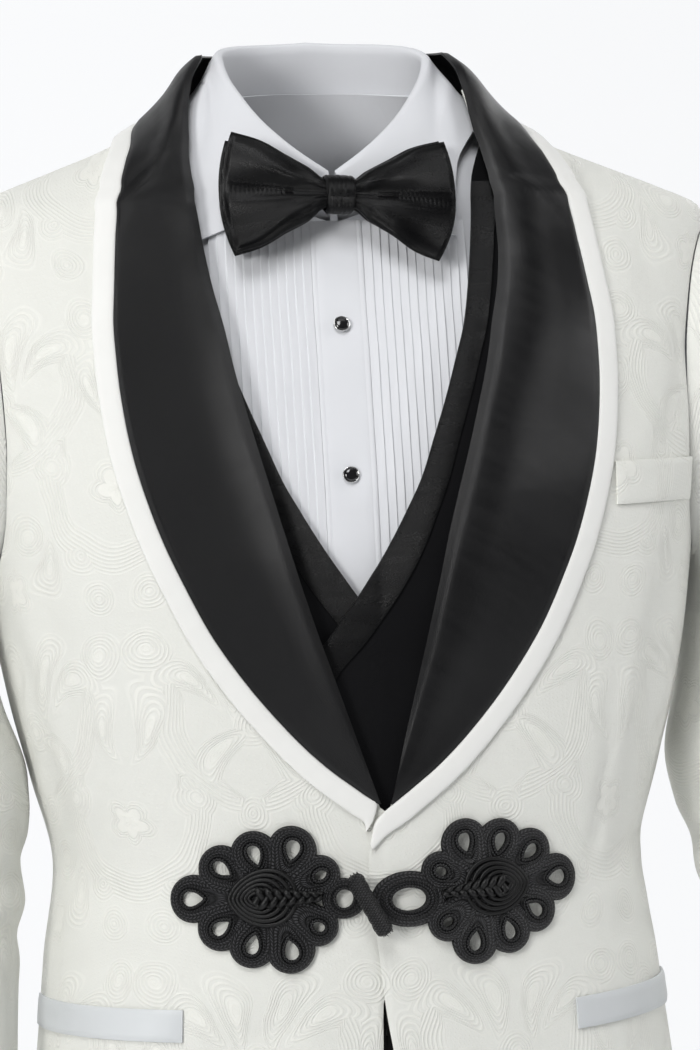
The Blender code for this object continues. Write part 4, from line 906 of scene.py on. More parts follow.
IVORY = brocade("ivory_brocade_cloth", (0.815, 0.815, 0.765), (0.765, 0.770, 0.730), 0.55)
SATIN_BLACK = satin("black_satin_cloth", (0.0014, 0.0014, 0.0017), 0.30, 0.00008, 0.17)
SATIN_LAPEL = satin("black_lapel_cloth", (0.0014, 0.0014, 0.0019), 0.40, 0.00010, 0.36)
SATIN_WHITE = satin("white_satin_cloth", (0.775, 0.775, 0.755), 0.44, 0.00006, 0.30, (0.80, 0.80, 0.78))
SATIN_WELT = satin("pale_satin_cloth", (0.60, 0.625, 0.64), 0.40, 0.00008, 0.40, (0.64, 0.66, 0.675))
WAISTCOAT_BLACK = woven("black_waistcoat_weave", (0.0035, 0.0035, 0.0040), (0.008, 0.008, 0.009), 0.70,
    0.0011, 0.00020, True, 0.06, 0.002)
SHIRT_WHITE = woven("white_shirt_weave", (0.66, 0.67, 0.70), (0.73, 0.74, 0.77), 0.72, 0.0005, 0.00008,
    False, 0.3, 0.0, 0.3)
TROUSER_BLACK = woven("black_trouser_weave", (0.006, 0.006, 0.0066), (0.013, 0.013, 0.014), 0.70, 0.0009,
    0.00018)
BRAID_BLACK = braid("black_frog_braid", 5, 0.0021)
CORD_BLACK = cord("black_frog_cord", 0.0017)
ENAMEL = enamel()
SILVER = metal()
SIDES = (("left", 1), ("right", -1))


# ---------------------------------------------------------------- jacket
ROLL_LEFT, ROLL_RIGHT, LAPEL_EDGE = columns(LAPEL)
EDGE_LEFT, EDGE_RIGHT = columns(FRONT_EDGE)
ARMHOLE_X = columns(ARMHOLE)[0]
COLLAR_LEFT, COLLAR_RIGHT = columns((LAPEL[-1][:3],) + ROLL_TOP)
JACKET_ROWS = LOWER_ROWS + YOKE_ROWS + TOP_ROWS
# Folds of the jacket's fronts, each side: distance along the cloth from centre front and height of
# both ends, then depth, width and bow in millimetres.
FRONT_FOLDS = {
    1: (
        (0.150, -0.300, 0.126, -0.470, 1.0, 6, 4),
        (0.205, -0.250, 0.180, -0.400, 1.6, 13, -8),
        (0.235, -0.300, 0.200, -0.420, 1.5, 11, 6),
        (0.262, -0.280, 0.232, -0.450, 1.4, 12, 5),
        (0.135, -0.455, 0.215, -0.425, 1.2, 8, 6),
        (0.130, -0.478, 0.225, -0.480, 0.9, 9, -5),
        (0.030, -0.500, 0.110, -0.560, 1.1, 10, 8),
        (0.020, -0.515, 0.050, -0.640, 1.2, 12, -6),
        (0.090, -0.520, 0.120, -0.690, 1.5, 17, 8),
        (0.170, -0.545, 0.185, -0.720, 1.7, 19, -8),
        (0.245, -0.520, 0.250, -0.700, 1.5, 18, 6),
        (0.215, -0.120, 0.180, -0.215, 1.2, 10, 8),
        (0.160, -0.045, 0.190, -0.110, 0.8, 11, 5),
    ),
    -1: (
        (0.146, -0.300, 0.128, -0.470, 0.9, 6, 4),
        (0.200, -0.240, 0.176, -0.385, 1.5, 13, 8),
        (0.232, -0.290, 0.205, -0.430, 1.7, 12, -6),
        (0.260, -0.300, 0.238, -0.440, 1.2, 11, 5),
        (0.140, -0.448, 0.220, -0.430, 1.0, 9, -6),
        (0.128, -0.486, 0.214, -0.500, 1.0, 9, 5),
        (0.040, -0.505, 0.115, -0.545, 1.0, 10, -7),
        (0.024, -0.540, 0.060, -0.670, 1.3, 13, 6),
        (0.105, -0.530, 0.110, -0.700, 1.4, 16, -7),
        (0.175, -0.560, 0.200, -0.715, 1.6, 18, 8),
        (0.250, -0.540, 0.246, -0.690, 1.4, 17, -6),
        (0.212, -0.110, 0.184, -0.205, 1.1, 10, -8),
        (0.165, -0.050, 0.186, -0.100, 0.8, 10, 5),
    ),
}
BACK_FOLDS = {
    1: (
        (0.050, -0.120, 0.160, -0.160, 1.4, 14, 10),
        (0.060, -0.200, 0.175, -0.235, 1.2, 13, -8),
        (0.020, -0.390, 0.150, -0.440, 1.8, 13, 9),
        (0.030, -0.450, 0.165, -0.465, 1.5, 12, -8),
        (0.060, -0.330, 0.170, -0.300, 1.2, 12, 8),
        (0.060, -0.520, 0.075, -0.720, 1.8, 20, 8),
        (0.140, -0.500, 0.150, -0.730, 1.9, 21, -9),
        (0.215, -0.500, 0.200, -0.700, 1.5, 18, 6),
        (0.185, -0.130, 0.165, -0.270, 1.3, 12, -6),
    ),
    -1: (
        (0.045, -0.135, 0.165, -0.150, 1.3, 13, -9),
        (0.055, -0.215, 0.165, -0.260, 1.3, 14, 8),
        (0.015, -0.400, 0.160, -0.425, 1.6, 12, -9),
        (0.035, -0.440, 0.150, -0.485, 1.7, 13, 7),
        (0.070, -0.320, 0.175, -0.315, 1.1, 12, -7),
        (0.055, -0.530, 0.060, -0.730, 1.7, 19, -8),
        (0.130, -0.510, 0.155, -0.720, 2.0, 22, 9),
        (0.210, -0.510, 0.210, -0.690, 1.4, 17, -6),
        (0.180, -0.140, 0.170, -0.280, 1.2, 12, 6),
    ),
}
DART = Curve((-0.5165, -0.4657, -0.4262, -0.3482, -0.2874), (0.1330, 0.1340, 0.1310, 0.1460, 0.1587))


def front_edge_q(side, height):
    """Where a jacket front begins, from centre front."""
    if height < APEX:
        return q_at((EDGE_LEFT if side > 0 else EDGE_RIGHT)(height), height)
    if height > LAPEL[-1][0]:
        x = (COLLAR_LEFT if side > 0 else COLLAR_RIGHT)(height)
    else:
        x = (ROLL_LEFT if side > 0 else ROLL_RIGHT)(height)
    start = min(TUCKED_UNDER, max(0.0, (height - APEX) * 0.1))
    return q_at(x + start, height)


def armhole_q(height, behind=False, armpit=ARMPIT):
    """Where the armhole cuts the form, or the side seam below and above it."""
    if armpit < height < SHOULDER_END:
        return q_at(ARMHOLE_X(height), height, behind)
    return 1.0


def edge_curve(rows, place):
    """A Curve of q over height through the places of the solids' rows."""
    return Curve(rows, [place(h) for h in rows])


def lapel_cover(q, height):
    """1 under the lapel and its trim, fading to 0 beside them."""
    x = np.abs(look_up(POINTS, q, height)[..., 0])
    edge = np.where(height < LAPEL[0][0], -0.02,
        LAPEL_EDGE(np.clip(height, LAPEL[0][0], LAPEL[-1][0]))) + 0.016
    return ease((edge + 0.018 - x) / 0.018) * ease((height + 0.440) / 0.03)


def jacket_relief(side, q, height):
    """How far the jacket's cloth stands out from the form at a place, in metres."""
    size = np.abs((np.asarray(q, float) + 2) % 4 - 2)
    run = np.abs(run_at(q, height))
    whole = np.interp(height, HEIGHTS, LENGTHS.sum(axis=1))
    front = folds(run, height, FRONT_FOLDS[side]) * ease((1.08 - size) / 0.16)
    behind = folds(whole - run, height, BACK_FOLDS[side]) * ease((size - 0.92) / 0.16)
    slow = drift(run * side, height, 3.0 + side, 0.9)
    shoulder = ease((-0.055 - height) / 0.03)
    total = (front + behind + slow) * shoulder * (1 - lapel_cover(q, height))
    x = np.abs(look_up(POINTS, q, height)[..., 0])
    dart = np.where(size < 1, bump((x - DART(height)) / 0.0016),
        0.0) * ease((height + 0.5165) / 0.01) * ease((-0.280 - height) / 0.02)
    beside = np.where(size < 1, bump((x - DART(height)) / 0.008),
        0.0) * ease((height + 0.54) / 0.05) * ease((-0.24 - height) / 0.06)
    return total + (0.55 * beside - 0.95 * dart) * MM


def seam_dip(steps, length, depth=0.8 * MM, width=2.2 * MM):
    """The dip beside a panel's seams: steps from each edge in metres."""
    return -depth * (bump(steps / width) + bump((length - steps) / width))


def even_rows(low, high, step, keep=()):
    """Heights at an even step, with some that are kept exactly."""
    rows = list(np.linspace(low, high, max(int(round((high - low) / step)), 1) + 1))
    for h in keep:
        near = int(np.argmin([abs(r - h) for r in rows]))
        if 0 < near < len(rows) - 1:
            rows[near] = h
    return np.array(rows)


def panel(start, end, rows, count):
    """A grid of places between two edges, closer together beside them."""
    t = np.linspace(0, 1, count + 1)
    t = t - 0.055 * np.sin(2 * math.pi * t)
    first = start(rows)[:, None]
    last = end(rows)[:, None]
    gap = q_step(SEAM_GAP / 2 + 0.05 * MM, rows)[:, None]
    q = (first + gap) * (1 - t) + (last - gap) * t
    return q, np.broadcast_to(rows[:, None], q.shape)


def panel_uv(q, height, side):
    return np.stack((np.abs(run_at(q, height)) * side, height), -1)


def hem_roll(height, low, depth=1.0 * MM):
    """The cloth's turn at a hem, just above its fold."""
    return -depth * bump((height - low) / (2.5 * MM)) - 0.4 * MM * bump((height - low - 0.036) / (2.0 * MM))


def jacket_front(side_name, side):
    start = edge_curve(JACKET_ROWS, lambda h: front_edge_q(side, h))
    fine = sorted(set(JACKET_ROWS) | set(np.linspace(-0.402, -0.0175, 60)) | set(np.linspace(-0.765,
        -0.402, 50)))
    start = edge_curve(fine, lambda h: front_edge_q(side, h))
    end = edge_curve(JACKET_ROWS, armhole_q)
    rows = even_rows(JACKET_HEM, 0.019, 0.0040, JACKET_ROWS[:-1])
    q, height = panel(start, end, rows, 76)
    lift = layer("jacket", height)[1] + jacket_relief(side, q, height)
    x = look_up(POINTS, q, height)[..., 0]
    if side > 0:
        lift = lift + lap_raise(x, height)
    run = run_at(q, height)
    steps = run - run[:, :1]
    edge_roll = -0.8 * MM * bump(steps / (1.6 * MM)) * ease((APEX - height) / 0.02)
    stitch = -0.35 * MM * bump((steps - 6 * MM) / (0.9 * MM)) * ease((APEX - height) / 0.02)
    lift = lift + edge_roll + stitch - 0.8 * MM * bump((run[:, -1:] - run) / (2.4
        * MM)) + hem_roll(height, JACKET_HEM)
    outer = on_form(side * q, height, lift)
    made = Parts()
    made.wall(outer, panel_uv(q, height, side), 1.2 * MM, side)
    thing = made.object("jacket_front_%s_cloth" % side_name)
    dress(thing, [IVORY], ["jacket_front_" + side_name])
    cloth(thing)


def jacket_back(side_name, side):
    edge = edge_curve(JACKET_ROWS, lambda h: armhole_q(h, True))
    rows = even_rows(JACKET_HEM, 0.019, 0.0042, JACKET_ROWS[:-1])
    q, height = panel(edge, lambda h: np.full(len(h), 2.0), rows, 66)
    lift = layer("jacket", height)[1] + jacket_relief(side, q, height)
    run = run_at(q, height)
    width = run[:, -1:] - run[:, :1]
    hollow = -3.0 * MM * bump((run[:, -1:] - run) / 0.022) * ease((-0.06 - height) / 0.08) * bump((height
        + 0.42) / 0.22)
    lift = lift + seam_dip(run - run[:, :1], width) + hem_roll(height, JACKET_HEM) + hollow
    made = Parts()
    made.wall(on_form(side * q, height, lift), panel_uv(q, height, side), 1.2 * MM, side)
    thing = made.object("jacket_back_%s_cloth" % side_name)
    dress(thing, [IVORY], ["jacket_back_" + side_name])
    cloth(thing)


def lapel_lines(side, ahead, back):
    """Even places along the roll line and along the black edge, from the apex to centre back."""
    roll_at = ROLL_LEFT if side > 0 else ROLL_RIGHT
    heights = list(np.linspace(LAPEL[0][0], LAPEL[-1][0], 40))
    roll = [(q_at(roll_at(h), h), h) for h in heights]
    top_at = COLLAR_LEFT if side > 0 else COLLAR_RIGHT
    roll += [(q_at(top_at(row[0]), row[0]), row[0]) for row in ROLL_TOP[:-1]] + [(1.0, COLLAR_FOLD)]
    edge = [(q_at(LAPEL_EDGE(h), h), h) for h in heights] + [(1.0, COLLAR_EDGE_AT_SIDE)]
    roll_back = [(1.0, COLLAR_FOLD)] + [(q_at(x, up, True), up) for x, up, _ in COLLAR_BACK]
    edge_back = [(1.0, COLLAR_EDGE_AT_SIDE)] + [(q_at(x, low, True), low) for x, _, low in COLLAR_BACK]
    front = list(zip(trail(roll, ahead), trail(edge, ahead)))
    behind = list(zip(trail(roll_back, back), trail(edge_back, back)))
    lines = front + behind[1:]
    gap = float(q_step(SEAM_GAP / 2 + 0.1 * MM, 0.0))
    return lines[:-1] + [tuple((2.0 - gap, height) for _, height in lines[-1])]


def lapel_raise(side, q, height):
    """How much further out the lapels lie: over the lap, and over the shoulder's bend."""
    shoulder = 1.8 * MM * ease((np.asarray(height) + 0.082) / 0.037)
    x = look_up(POINTS, q, height)[..., 0]
    return shoulder + (lap_raise(x, height) if side > 0 else 0.0)


def lapel(side_name, side):
    rise = columns(LAPEL_ROLL)[0]
    lines = lapel_lines(side, 120, 34)
    pairs = np.array(lines)
    t = np.linspace(0, 1, 27) ** 1.15
    q = pairs[:, 0, 0, None] * (1 - t) + pairs[:, 1, 0, None] * t
    height = pairs[:, 0, 1, None] * (1 - t) + pairs[:, 1, 1, None] * t
    station = np.arange(len(lines))[:, None] * 17 / 120
    base = LAPEL_ROLL[-1][1]
    lift = base + (rise(t)[None] - base) * ease(station / 4) + lapel_raise(side, q, height)
    along = np.concatenate(([0.0],
        np.cumsum(np.linalg.norm(np.diff(on_form(pairs[:, 1, 0], pairs[:, 1, 1]), axis=0), axis=1))))
    span = np.linalg.norm(on_form(pairs[:, 1, 0], pairs[:, 1, 1])
        - on_form(pairs[:, 0, 0], pairs[:, 0, 1]), axis=1)
    u = along[:, None] + 0 * t
    v = span[:, None] * t
    ripple = 0.45 * MM * np.sin(u * 38 + side + v * 20) + 0.3 * MM * np.sin(u * 71 - v * 46 + 2 * side)
    lift = lift + ripple * np.sin(math.pi * np.clip(t, 0, 1)) * ease((u - 0.03) / 0.08)
    lift = lift - 0.9 * MM * bump((1 - t) * span[:, None] / (1.6 * MM))
    outer = on_form(side * q, height, lift)
    made = Parts()
    made.wall(outer, np.stack((v * side, u), -1), 1.4 * MM, side)
    thing = made.object("lapel_%s_satin" % side_name, 70)
    dress(thing, [SATIN_LAPEL], ["lapel_" + side_name])
    cloth(thing)


def trim_places(side, ahead, back):
    """Pairs of places along the white band, on its inner and its outer edge."""
    lines = [pair[1] for pair in lapel_lines(side, ahead, back)]
    pairs = []
    for k, (q, height) in enumerate(lines):
        before = lines[max(k - 1, 0)]
        after = lines[min(k + 1, len(lines) - 1)]
        along = on_form(*after) - on_form(*before)
        across = on_form(q, height, 1.0) - on_form(q, height)
        out = np.cross(along, across)
        out /= np.linalg.norm(out)
        near = walk(q, height, out * SEAM_GAP * 0.7)
        far = walk(q, height, out * TRIM_WIDTH)
        if k == len(lines) - 1:
            near, far = (q, near[1]), (q, far[1])
        pairs.append((near, far))
    left_tip = ((-0.0094, -0.4232, -0.0078, -0.4255), (-0.0060, -0.4105, +0.0005, -0.4175))
    right_tip = ((+0.0058, -0.4075, +0.0112, -0.4155), (+0.0048, -0.4040, +0.0112, -0.4128))
    tip = [((q_at(x0, h0), h0), (q_at(x1, h1), h1)) for x0, h0, x1,
        h1 in (left_tip if side > 0 else right_tip)]
    return tip + pairs


def smooth_line(values, step, count):
    """Values along a line, read at count even places by a Curve."""
    run = np.concatenate(([0.0], np.cumsum(step)))
    return Curve(run, values)(np.linspace(0, run[-1], count))


def lapel_trim(side_name, side):
    pairs = np.array(trim_places(side, 60, 18))
    spots = on_form(pairs[:, 1, 0], pairs[:, 1, 1])
    step = np.maximum(np.linalg.norm(np.diff(spots, axis=0), axis=1), 1e-5)
    fine = np.stack([[smooth_line(pairs[:, e, c], step, 240) for c in (0, 1)] for e in (0, 1)])
    t = np.array([0.0, 0.012, 0.04, 0.09, 0.20, 0.35, 0.5, 0.65, 0.80, 0.91, 0.96, 0.988, 1.0])
    q = fine[0, 0][:, None] * (1 - t) + fine[1, 0][:, None] * t
    height = fine[0, 1][:, None] * (1 - t) + fine[1, 1][:, None] * t
    crown = 0.75 * MM * (1 - np.abs(2 * t - 1) ** 7) + 0.15 * MM * (1 - (2 * t - 1) ** 2)
    along = np.linspace(0, step.sum(), 240)[:, None]
    pucker = 0.10 * MM * np.sin(along * 420 + side) * bump((t - 0.5) / 0.5)
    rest = LAPEL_REST + lapel_raise(side, q, height)
    lift = rest + 1.0 * MM + crown + pucker
    outer = on_form(side * q, height, lift)
    inner = on_form(side * q, height, rest)
    made = Parts()
    made.wall(outer, np.stack((t * TRIM_WIDTH * side + 0 * along, along + 0 * t), -1), out=side, inner=inner)
    thing = made.object("lapel_trim_%s_satin" % side_name, 70)
    dress(thing, [SATIN_WHITE], ["lapel_trim_" + side_name])
    cloth(thing)


def welt(name, node, material, side, corners, ends):
    """A pocket welt: corners give its start and end, each as x and two heights."""
    (x0, bottom0, top0), (x1, bottom1, top1) = corners
    start, end = q_at(x0, top0), q_at(x1, top1)
    t = np.linspace(0, 1, 41)[None]
    share = np.linspace(0, 1, 15)[:, None]
    q = start + (end - start) * t + 0 * share
    bottom = bottom0 + (bottom1 - bottom0) * t
    top = top0 + (top1 - top0) * t
    height = bottom + (top - bottom) * share
    edge = np.minimum(np.minimum(share, 1 - share) * abs(top0 - bottom0), np.minimum(t, 1 - t) * abs(x1 - x0))
    crown = 0.75 * MM * (1 - bump(edge / (1.5 * MM))) + 0.10 * MM * np.sin(t * 19 + share * 3)
    stitch = -0.25 * MM * bump((np.minimum(t, 1 - t) * abs(x1 - x0) - 2.4 * MM) / (0.6 * MM)) * ends
    relief = jacket_relief(side, q, height)
    raised = lap_raise(look_up(POINTS, q, height)[..., 0], height) if side > 0 else 0.0
    outer = on_form(side * q, height, LAPEL_REST + 0.7 * MM + crown + stitch + relief + raised)
    inner = on_form(side * q, height, LAPEL_REST - 0.6 * MM + relief + raised)
    made = Parts()
    made.wall(outer, panel_uv(q, height, side), out=side, inner=inner)
    thing = made.object(name, 60)
    dress(thing, [material], [node])
    long, wide, made.flat = measured(outer)
    cloth(thing)


# Folds of a sleeve: turn round it in degrees (0 outside, 90 front, 180 inside) and height of both
# ends, then depth, width and bow in millimetres.
SLEEVE_FOLDS = {
    1: (
        (60, -0.100, 110, -0.230, 1.5, 9, 7), (85, -0.120, 140, -0.250, 1.6, 9, -6),
            (110, -0.200, 175, -0.275, 1.8, 9, 6),
        (70, -0.390, 175, -0.425, 2.4, 9, 8), (85, -0.425, 190, -0.440, 2.2, 8, -6),
            (60, -0.455, 170, -0.460, 2.4, 9, 9),
        (95, -0.480, 200, -0.475, 1.8, 9, -7), (20, -0.330, 80, -0.395, 1.4, 11, 8),
            (250, -0.395, 330, -0.470, 1.6, 12, 9),
        (230, -0.130, 280, -0.270, 1.6, 11, 8), (200, -0.180, 250, -0.300, 1.5, 10, -7),
            (290, -0.350, 345, -0.420, 1.3, 12, -8),
        (40, -0.520, 120, -0.560, 1.5, 11, 7), (110, -0.540, 200, -0.600, 1.5, 11, -7),
            (230, -0.520, 300, -0.590, 1.5, 12, 8),
    ),
    -1: (
        (65, -0.110, 115, -0.225, 1.4, 9, -7), (90, -0.130, 145, -0.245, 1.7, 9, 6),
            (115, -0.210, 170, -0.280, 1.7, 9, 6),
        (60, -0.375, 180, -0.415, 2.3, 9, -8), (80, -0.415, 185, -0.432, 2.4, 8, 6),
            (70, -0.445, 165, -0.455, 2.2, 9, 9),
        (90, -0.470, 195, -0.480, 2.0, 9, 7), (25, -0.320, 75, -0.385, 1.3, 11, 8),
            (245, -0.385, 335, -0.460, 1.7, 12, -9),
        (235, -0.140, 275, -0.260, 1.5, 11, -8), (205, -0.190, 255, -0.290, 1.4, 10, 7),
            (285, -0.340, 350, -0.430, 1.3, 12, 8),
        (45, -0.510, 125, -0.570, 1.4, 11, -7), (105, -0.550, 195, -0.590, 1.6, 11, 7),
            (235, -0.530, 305, -0.580, 1.5, 12, -8),
    ),
}
AROUND = 72


def armhole_loop(lift, inset, armpit, behind_rows):
    """Round the left armhole from the shoulder, down the front and up the back."""
    front = edge_curve(behind_rows, lambda h: armhole_q(h, False, armpit))
    back = edge_curve(behind_rows, lambda h: armhole_q(h, True, armpit))
    top, low = SHOULDER_END - 2 * inset, armpit + inset
    share = np.linspace(0, 1, 160)
    heights = top + (low - top) * (share - 0.10 * np.sin(2 * math.pi * share))
    q = np.concatenate((np.minimum(front(heights) + q_step(inset, heights), 1.0),
        np.maximum(back(heights[::-1]) - q_step(inset, heights[::-1]), 1.0)[1:]))
    height = np.concatenate((heights, heights[::-1][1:]))
    spots = on_form(q, height)
    run = np.concatenate(([0.0], np.cumsum(np.linalg.norm(np.diff(spots, axis=0), axis=1))))
    middle = run[len(heights) - 1]
    half = AROUND // 2
    even = np.concatenate((np.linspace(0, middle, half + 1)[:-1],
        np.linspace(middle, run[-1], half + 1)[:-1]))
    q, height = np.interp(even, run, q), np.interp(even, run, height)
    return on_form(q, height, lift(q, height))


def sleeve_ring(curves, side, height, slim):
    """A level ring of the sleeve on the wearer's left, starting at its outer side."""
    inner_left, inner_right, width, middle, depth, swelling = (float(curve(height)) for curve in curves)
    edge = (inner_left if side > 0 else inner_right) + slim
    half = width / 2 - slim
    turn = 2 * math.pi * np.arange(AROUND) / AROUND
    swell = 1 + swelling * (0.35 + 0.65 * np.sin(turn / 2 + 0.6) ** 2) / half
    x = edge + half + half * np.cos(turn) * swell
    y = middle - (depth - slim) * np.sin(turn) * swell
    return np.stack((x, y, np.full(AROUND, height)), -1)


def sleeve_rings(side, low, slim, loop, step):
    """All rings from the armhole to the cuff; the cap bends over from the shoulder."""
    curves = columns(SLEEVE)
    level = sleeve_ring(curves, side, SLEEVE[0][0], slim)
    rings = []
    bend = np.stack((0.8 * level[:, 0] + 0.2 * loop[:, 0], 0.6 * level[:, 1] + 0.4 * loop[:, 1],
        loop[:, 2] - 0.004), -1)
    for t in np.linspace(0, 1, 34)[:-1]:
        rings.append((1 - t) ** 2 * loop + 2 * t * (1 - t) * bend + t * t * level)
    for height in even_rows(low, SLEEVE[0][0], step)[::-1]:
        rings.append(sleeve_ring(curves, side, float(height), slim))
    return np.array(rings)


def jacket_sleeve(side_name, side):
    loop = armhole_loop(lambda q, h: layer("jacket", h)[1] - 0.6 * MM + 0 * q, SEAM_GAP + 0.2 * MM,
        ARMPIT, JACKET_ROWS)
    rings = sleeve_rings(side, SLEEVE[-1][0], 0.0, loop, 0.0042)
    normal = grid_normals(rings, True)
    if np.mean(normal[60, 0] * (1, 0, 0)) < 0:
        normal = -normal
    turn = np.arange(AROUND) * 360 / AROUND
    around = np.radians(turn) * 0.052
    z = rings[..., 2]
    total = np.zeros(z.shape)
    for a0, z0, a1, z1, depth, width, bow in SLEEVE_FOLDS[side]:
        a, b = (math.radians(a0) * 0.052, z0), (math.radians(a1) * 0.052, z1)
        total += fold(around[None], z, a, b, depth * MM, width * MM, bow * MM)
    total += drift(around[None] * 1.1, z, 8.0 + side, 1.0) * ease((np.arange(len(rings)) - 3) / 12)[:, None]
    row = np.arange(len(rings))[:, None]
    cap = 2.2 * MM * bump((row - 4) / 3.2) * ease((np.cos(np.radians(turn)) + 0.35) / 0.9)
    dip = -1.2 * MM * bump(row / 1.6)
    seam = -0.9 * MM * (bump((turn - 232) / 2.2) + bump((turn - 150) / 2.2)) * ease((row - 2) / 5)
    hem = -0.9 * MM * bump((z - SLEEVE[-1][0]) / (2.2 * MM))
    calm = ease((row - 1) / 8)
    outer = rings + normal * (total * calm + cap + dip + seam + hem)[..., None]
    outer[:, :, 0] *= side
    length = np.concatenate(([0.0],
        np.cumsum(np.linalg.norm(np.diff(rings[:, AROUND // 4], axis=0), axis=1))))
    wide = np.linspace(0, 0.335, AROUND + 1)
    uv = np.stack(np.broadcast_arrays(wide[None] * side, -length[:, None]), -1)
    flip = 1 if np.mean(grid_normals(outer, True)[60, 0, 0] * side) > 0 else -1
    made = Parts()
    made.wall(outer, uv, 1.4 * MM, flip, closed=True)
    thing = made.object("jacket_sleeve_%s_cloth" % side_name)
    dress(thing, [IVORY], ["jacket_sleeve_" + side_name])
    cloth(thing)
    return rings


# ---------------------------------------------------------------- waistcoat
WAISTCOAT_EDGE_X = columns(WAISTCOAT_EDGE)[0]
WAISTCOAT_ARM_X = columns(WAISTCOAT_ARMHOLE)[0]
WAISTCOAT_ROWS = (
    WAISTCOAT_HEM, -0.437, -0.360, -0.335, -0.298, -0.275, -0.255, -0.225, -0.185, -0.145,
    -0.105, -0.072, -0.052, -0.038, -0.022, -0.006,
)


def waistcoat_arm_q(height, behind=False):
    if ARMPIT < height < -0.03:
        return q_at(WAISTCOAT_ARM_X(height), height, behind)
    return 1.0


def waistcoat_edge_q(side, height, inward=0.0):
    """Where a waistcoat front begins, counted towards its own side."""
    return q_at(WAISTCOAT_EDGE_X(height) + inward + side * INNER_SHIFT, height)


def waistcoat_front(side_name, side):
    fine = np.linspace(WAISTCOAT_ROWS[0], WAISTCOAT_ROWS[-1], 90)
    start = edge_curve(fine, lambda h: waistcoat_edge_q(side, h))
    end = edge_curve(WAISTCOAT_ROWS, waistcoat_arm_q)
    rows = even_rows(WAISTCOAT_ROWS[0], WAISTCOAT_ROWS[-1], 0.0055, WAISTCOAT_ROWS)
    q, height = panel(start, end, rows, 46)
    high = layer("waistcoat_" + side_name, height)[1]
    run = run_at(q, height)
    steps = run - run[:, :1]
    soft = drift(run * side, height, 5.0 + side, 0.35)
    lift = high + soft - 0.4 * MM * bump(steps / (1.2 * MM)) - 0.4 * MM * bump((run[:, -1:] - run) / (2.0
        * MM))
    outer = on_form(side * q, height, lift)
    made = Parts()
    made.wall(outer, panel_uv(q, height, side), 1.1 * MM, side)
    thing = made.object("waistcoat_front_%s_cloth" % side_name)
    dress(thing, [WAISTCOAT_BLACK], ["waistcoat_front_" + side_name])
    cloth(thing)


def waistcoat_band(side_name, side):
    lowest = -0.335 if side > 0 else -0.298
    slant = Curve((-0.34, -0.28, -0.20, -0.10, -0.04, 0.0), (1.7, 1.65, 1.12, 1.0, 1.05, 1.3))
    fine = np.linspace(lowest, -0.038, 60)
    start = edge_curve(fine, lambda h: waistcoat_edge_q(side, h))
    end = edge_curve(fine, lambda h: waistcoat_edge_q(side, h, WAISTCOAT_BAND * float(slant(h))))
    rows = np.linspace(lowest, -0.038, 120)
    q, height = panel(start, end, rows, 9)
    low, high = layer("band_" + side_name, height)
    t = np.linspace(0, 1, 10)[None]
    crown = 0.35 * MM * (1 - np.abs(2 * t - 1) ** 3) - 0.3 * MM
    lift = high + crown + 0.08 * MM * np.sin(height * 300)
    outer = on_form(side * q, height, lift)
    inner = on_form(side * q, height, low)
    made = Parts()
    made.wall(outer, panel_uv(q, height, side), out=side, inner=inner)
    thing = made.object("waistcoat_band_%s_satin" % side_name, 70)
    dress(thing, [SATIN_BLACK], ["waistcoat_band_" + side_name])
    wide, long, made.flat = measured(outer)
    cloth(thing)


def waistcoat_back():
    edge = edge_curve(WAISTCOAT_ROWS, lambda h: waistcoat_arm_q(h, True))
    rows = even_rows(WAISTCOAT_ROWS[0], WAISTCOAT_ROWS[-1], 0.008, WAISTCOAT_ROWS)
    q, height = panel(edge, lambda h: 4 - edge(h), rows, 60)
    lift = layer("waistcoat_back", height)[1] + drift(q * 0.25, height, 6.0, 0.4)
    run = q * 0.30
    made = Parts()
    made.wall(on_form(q, height, lift), np.stack((run, height), -1), 1.1 * MM, 1)
    thing = made.object("waistcoat_back_cloth")
    dress(thing, [WAISTCOAT_BLACK], ["waistcoat_back"])
    cloth(thing)


# ---------------------------------------------------------------- shirt
SHIRT_NECK_X = columns(SHIRT_NECK)[0]
SHIRT_ROWS = (
    SHIRT_TAIL, -0.475, -0.430, -0.375, -0.318, -0.255, -0.225, -0.145, -0.105, -0.072,
    -0.052, -0.038, -0.022, -0.006, 0.003, 0.012, 0.021, 0.030,
)
SHIRT_CENTRE = Curve((-0.54, -0.21, -0.12, -0.06, 0.02), (-0.0120, -0.0112, -0.0100, -0.0075, -0.0060))


def shirt_lifts(q, height):
    """The shirt's two lifts, drawn in where it is tucked into the trousers and at the sides."""
    low, high = layer("shirt", height)
    tuck = (3.4 + 4.6 * ease(np.abs(q) / 0.45)) * MM * ease((-0.375 - height) / 0.055)
    beside = ease((np.abs(q) - 0.45) / 0.45)
    tuck = tuck + (5.4 - 4.2 * ease((height + 0.13) / 0.06)) * MM * beside
    tuck = tuck + (2.6 + 2.0 * beside) * MM * ease((height + 0.025) / 0.02)
    return low - tuck, high - tuck


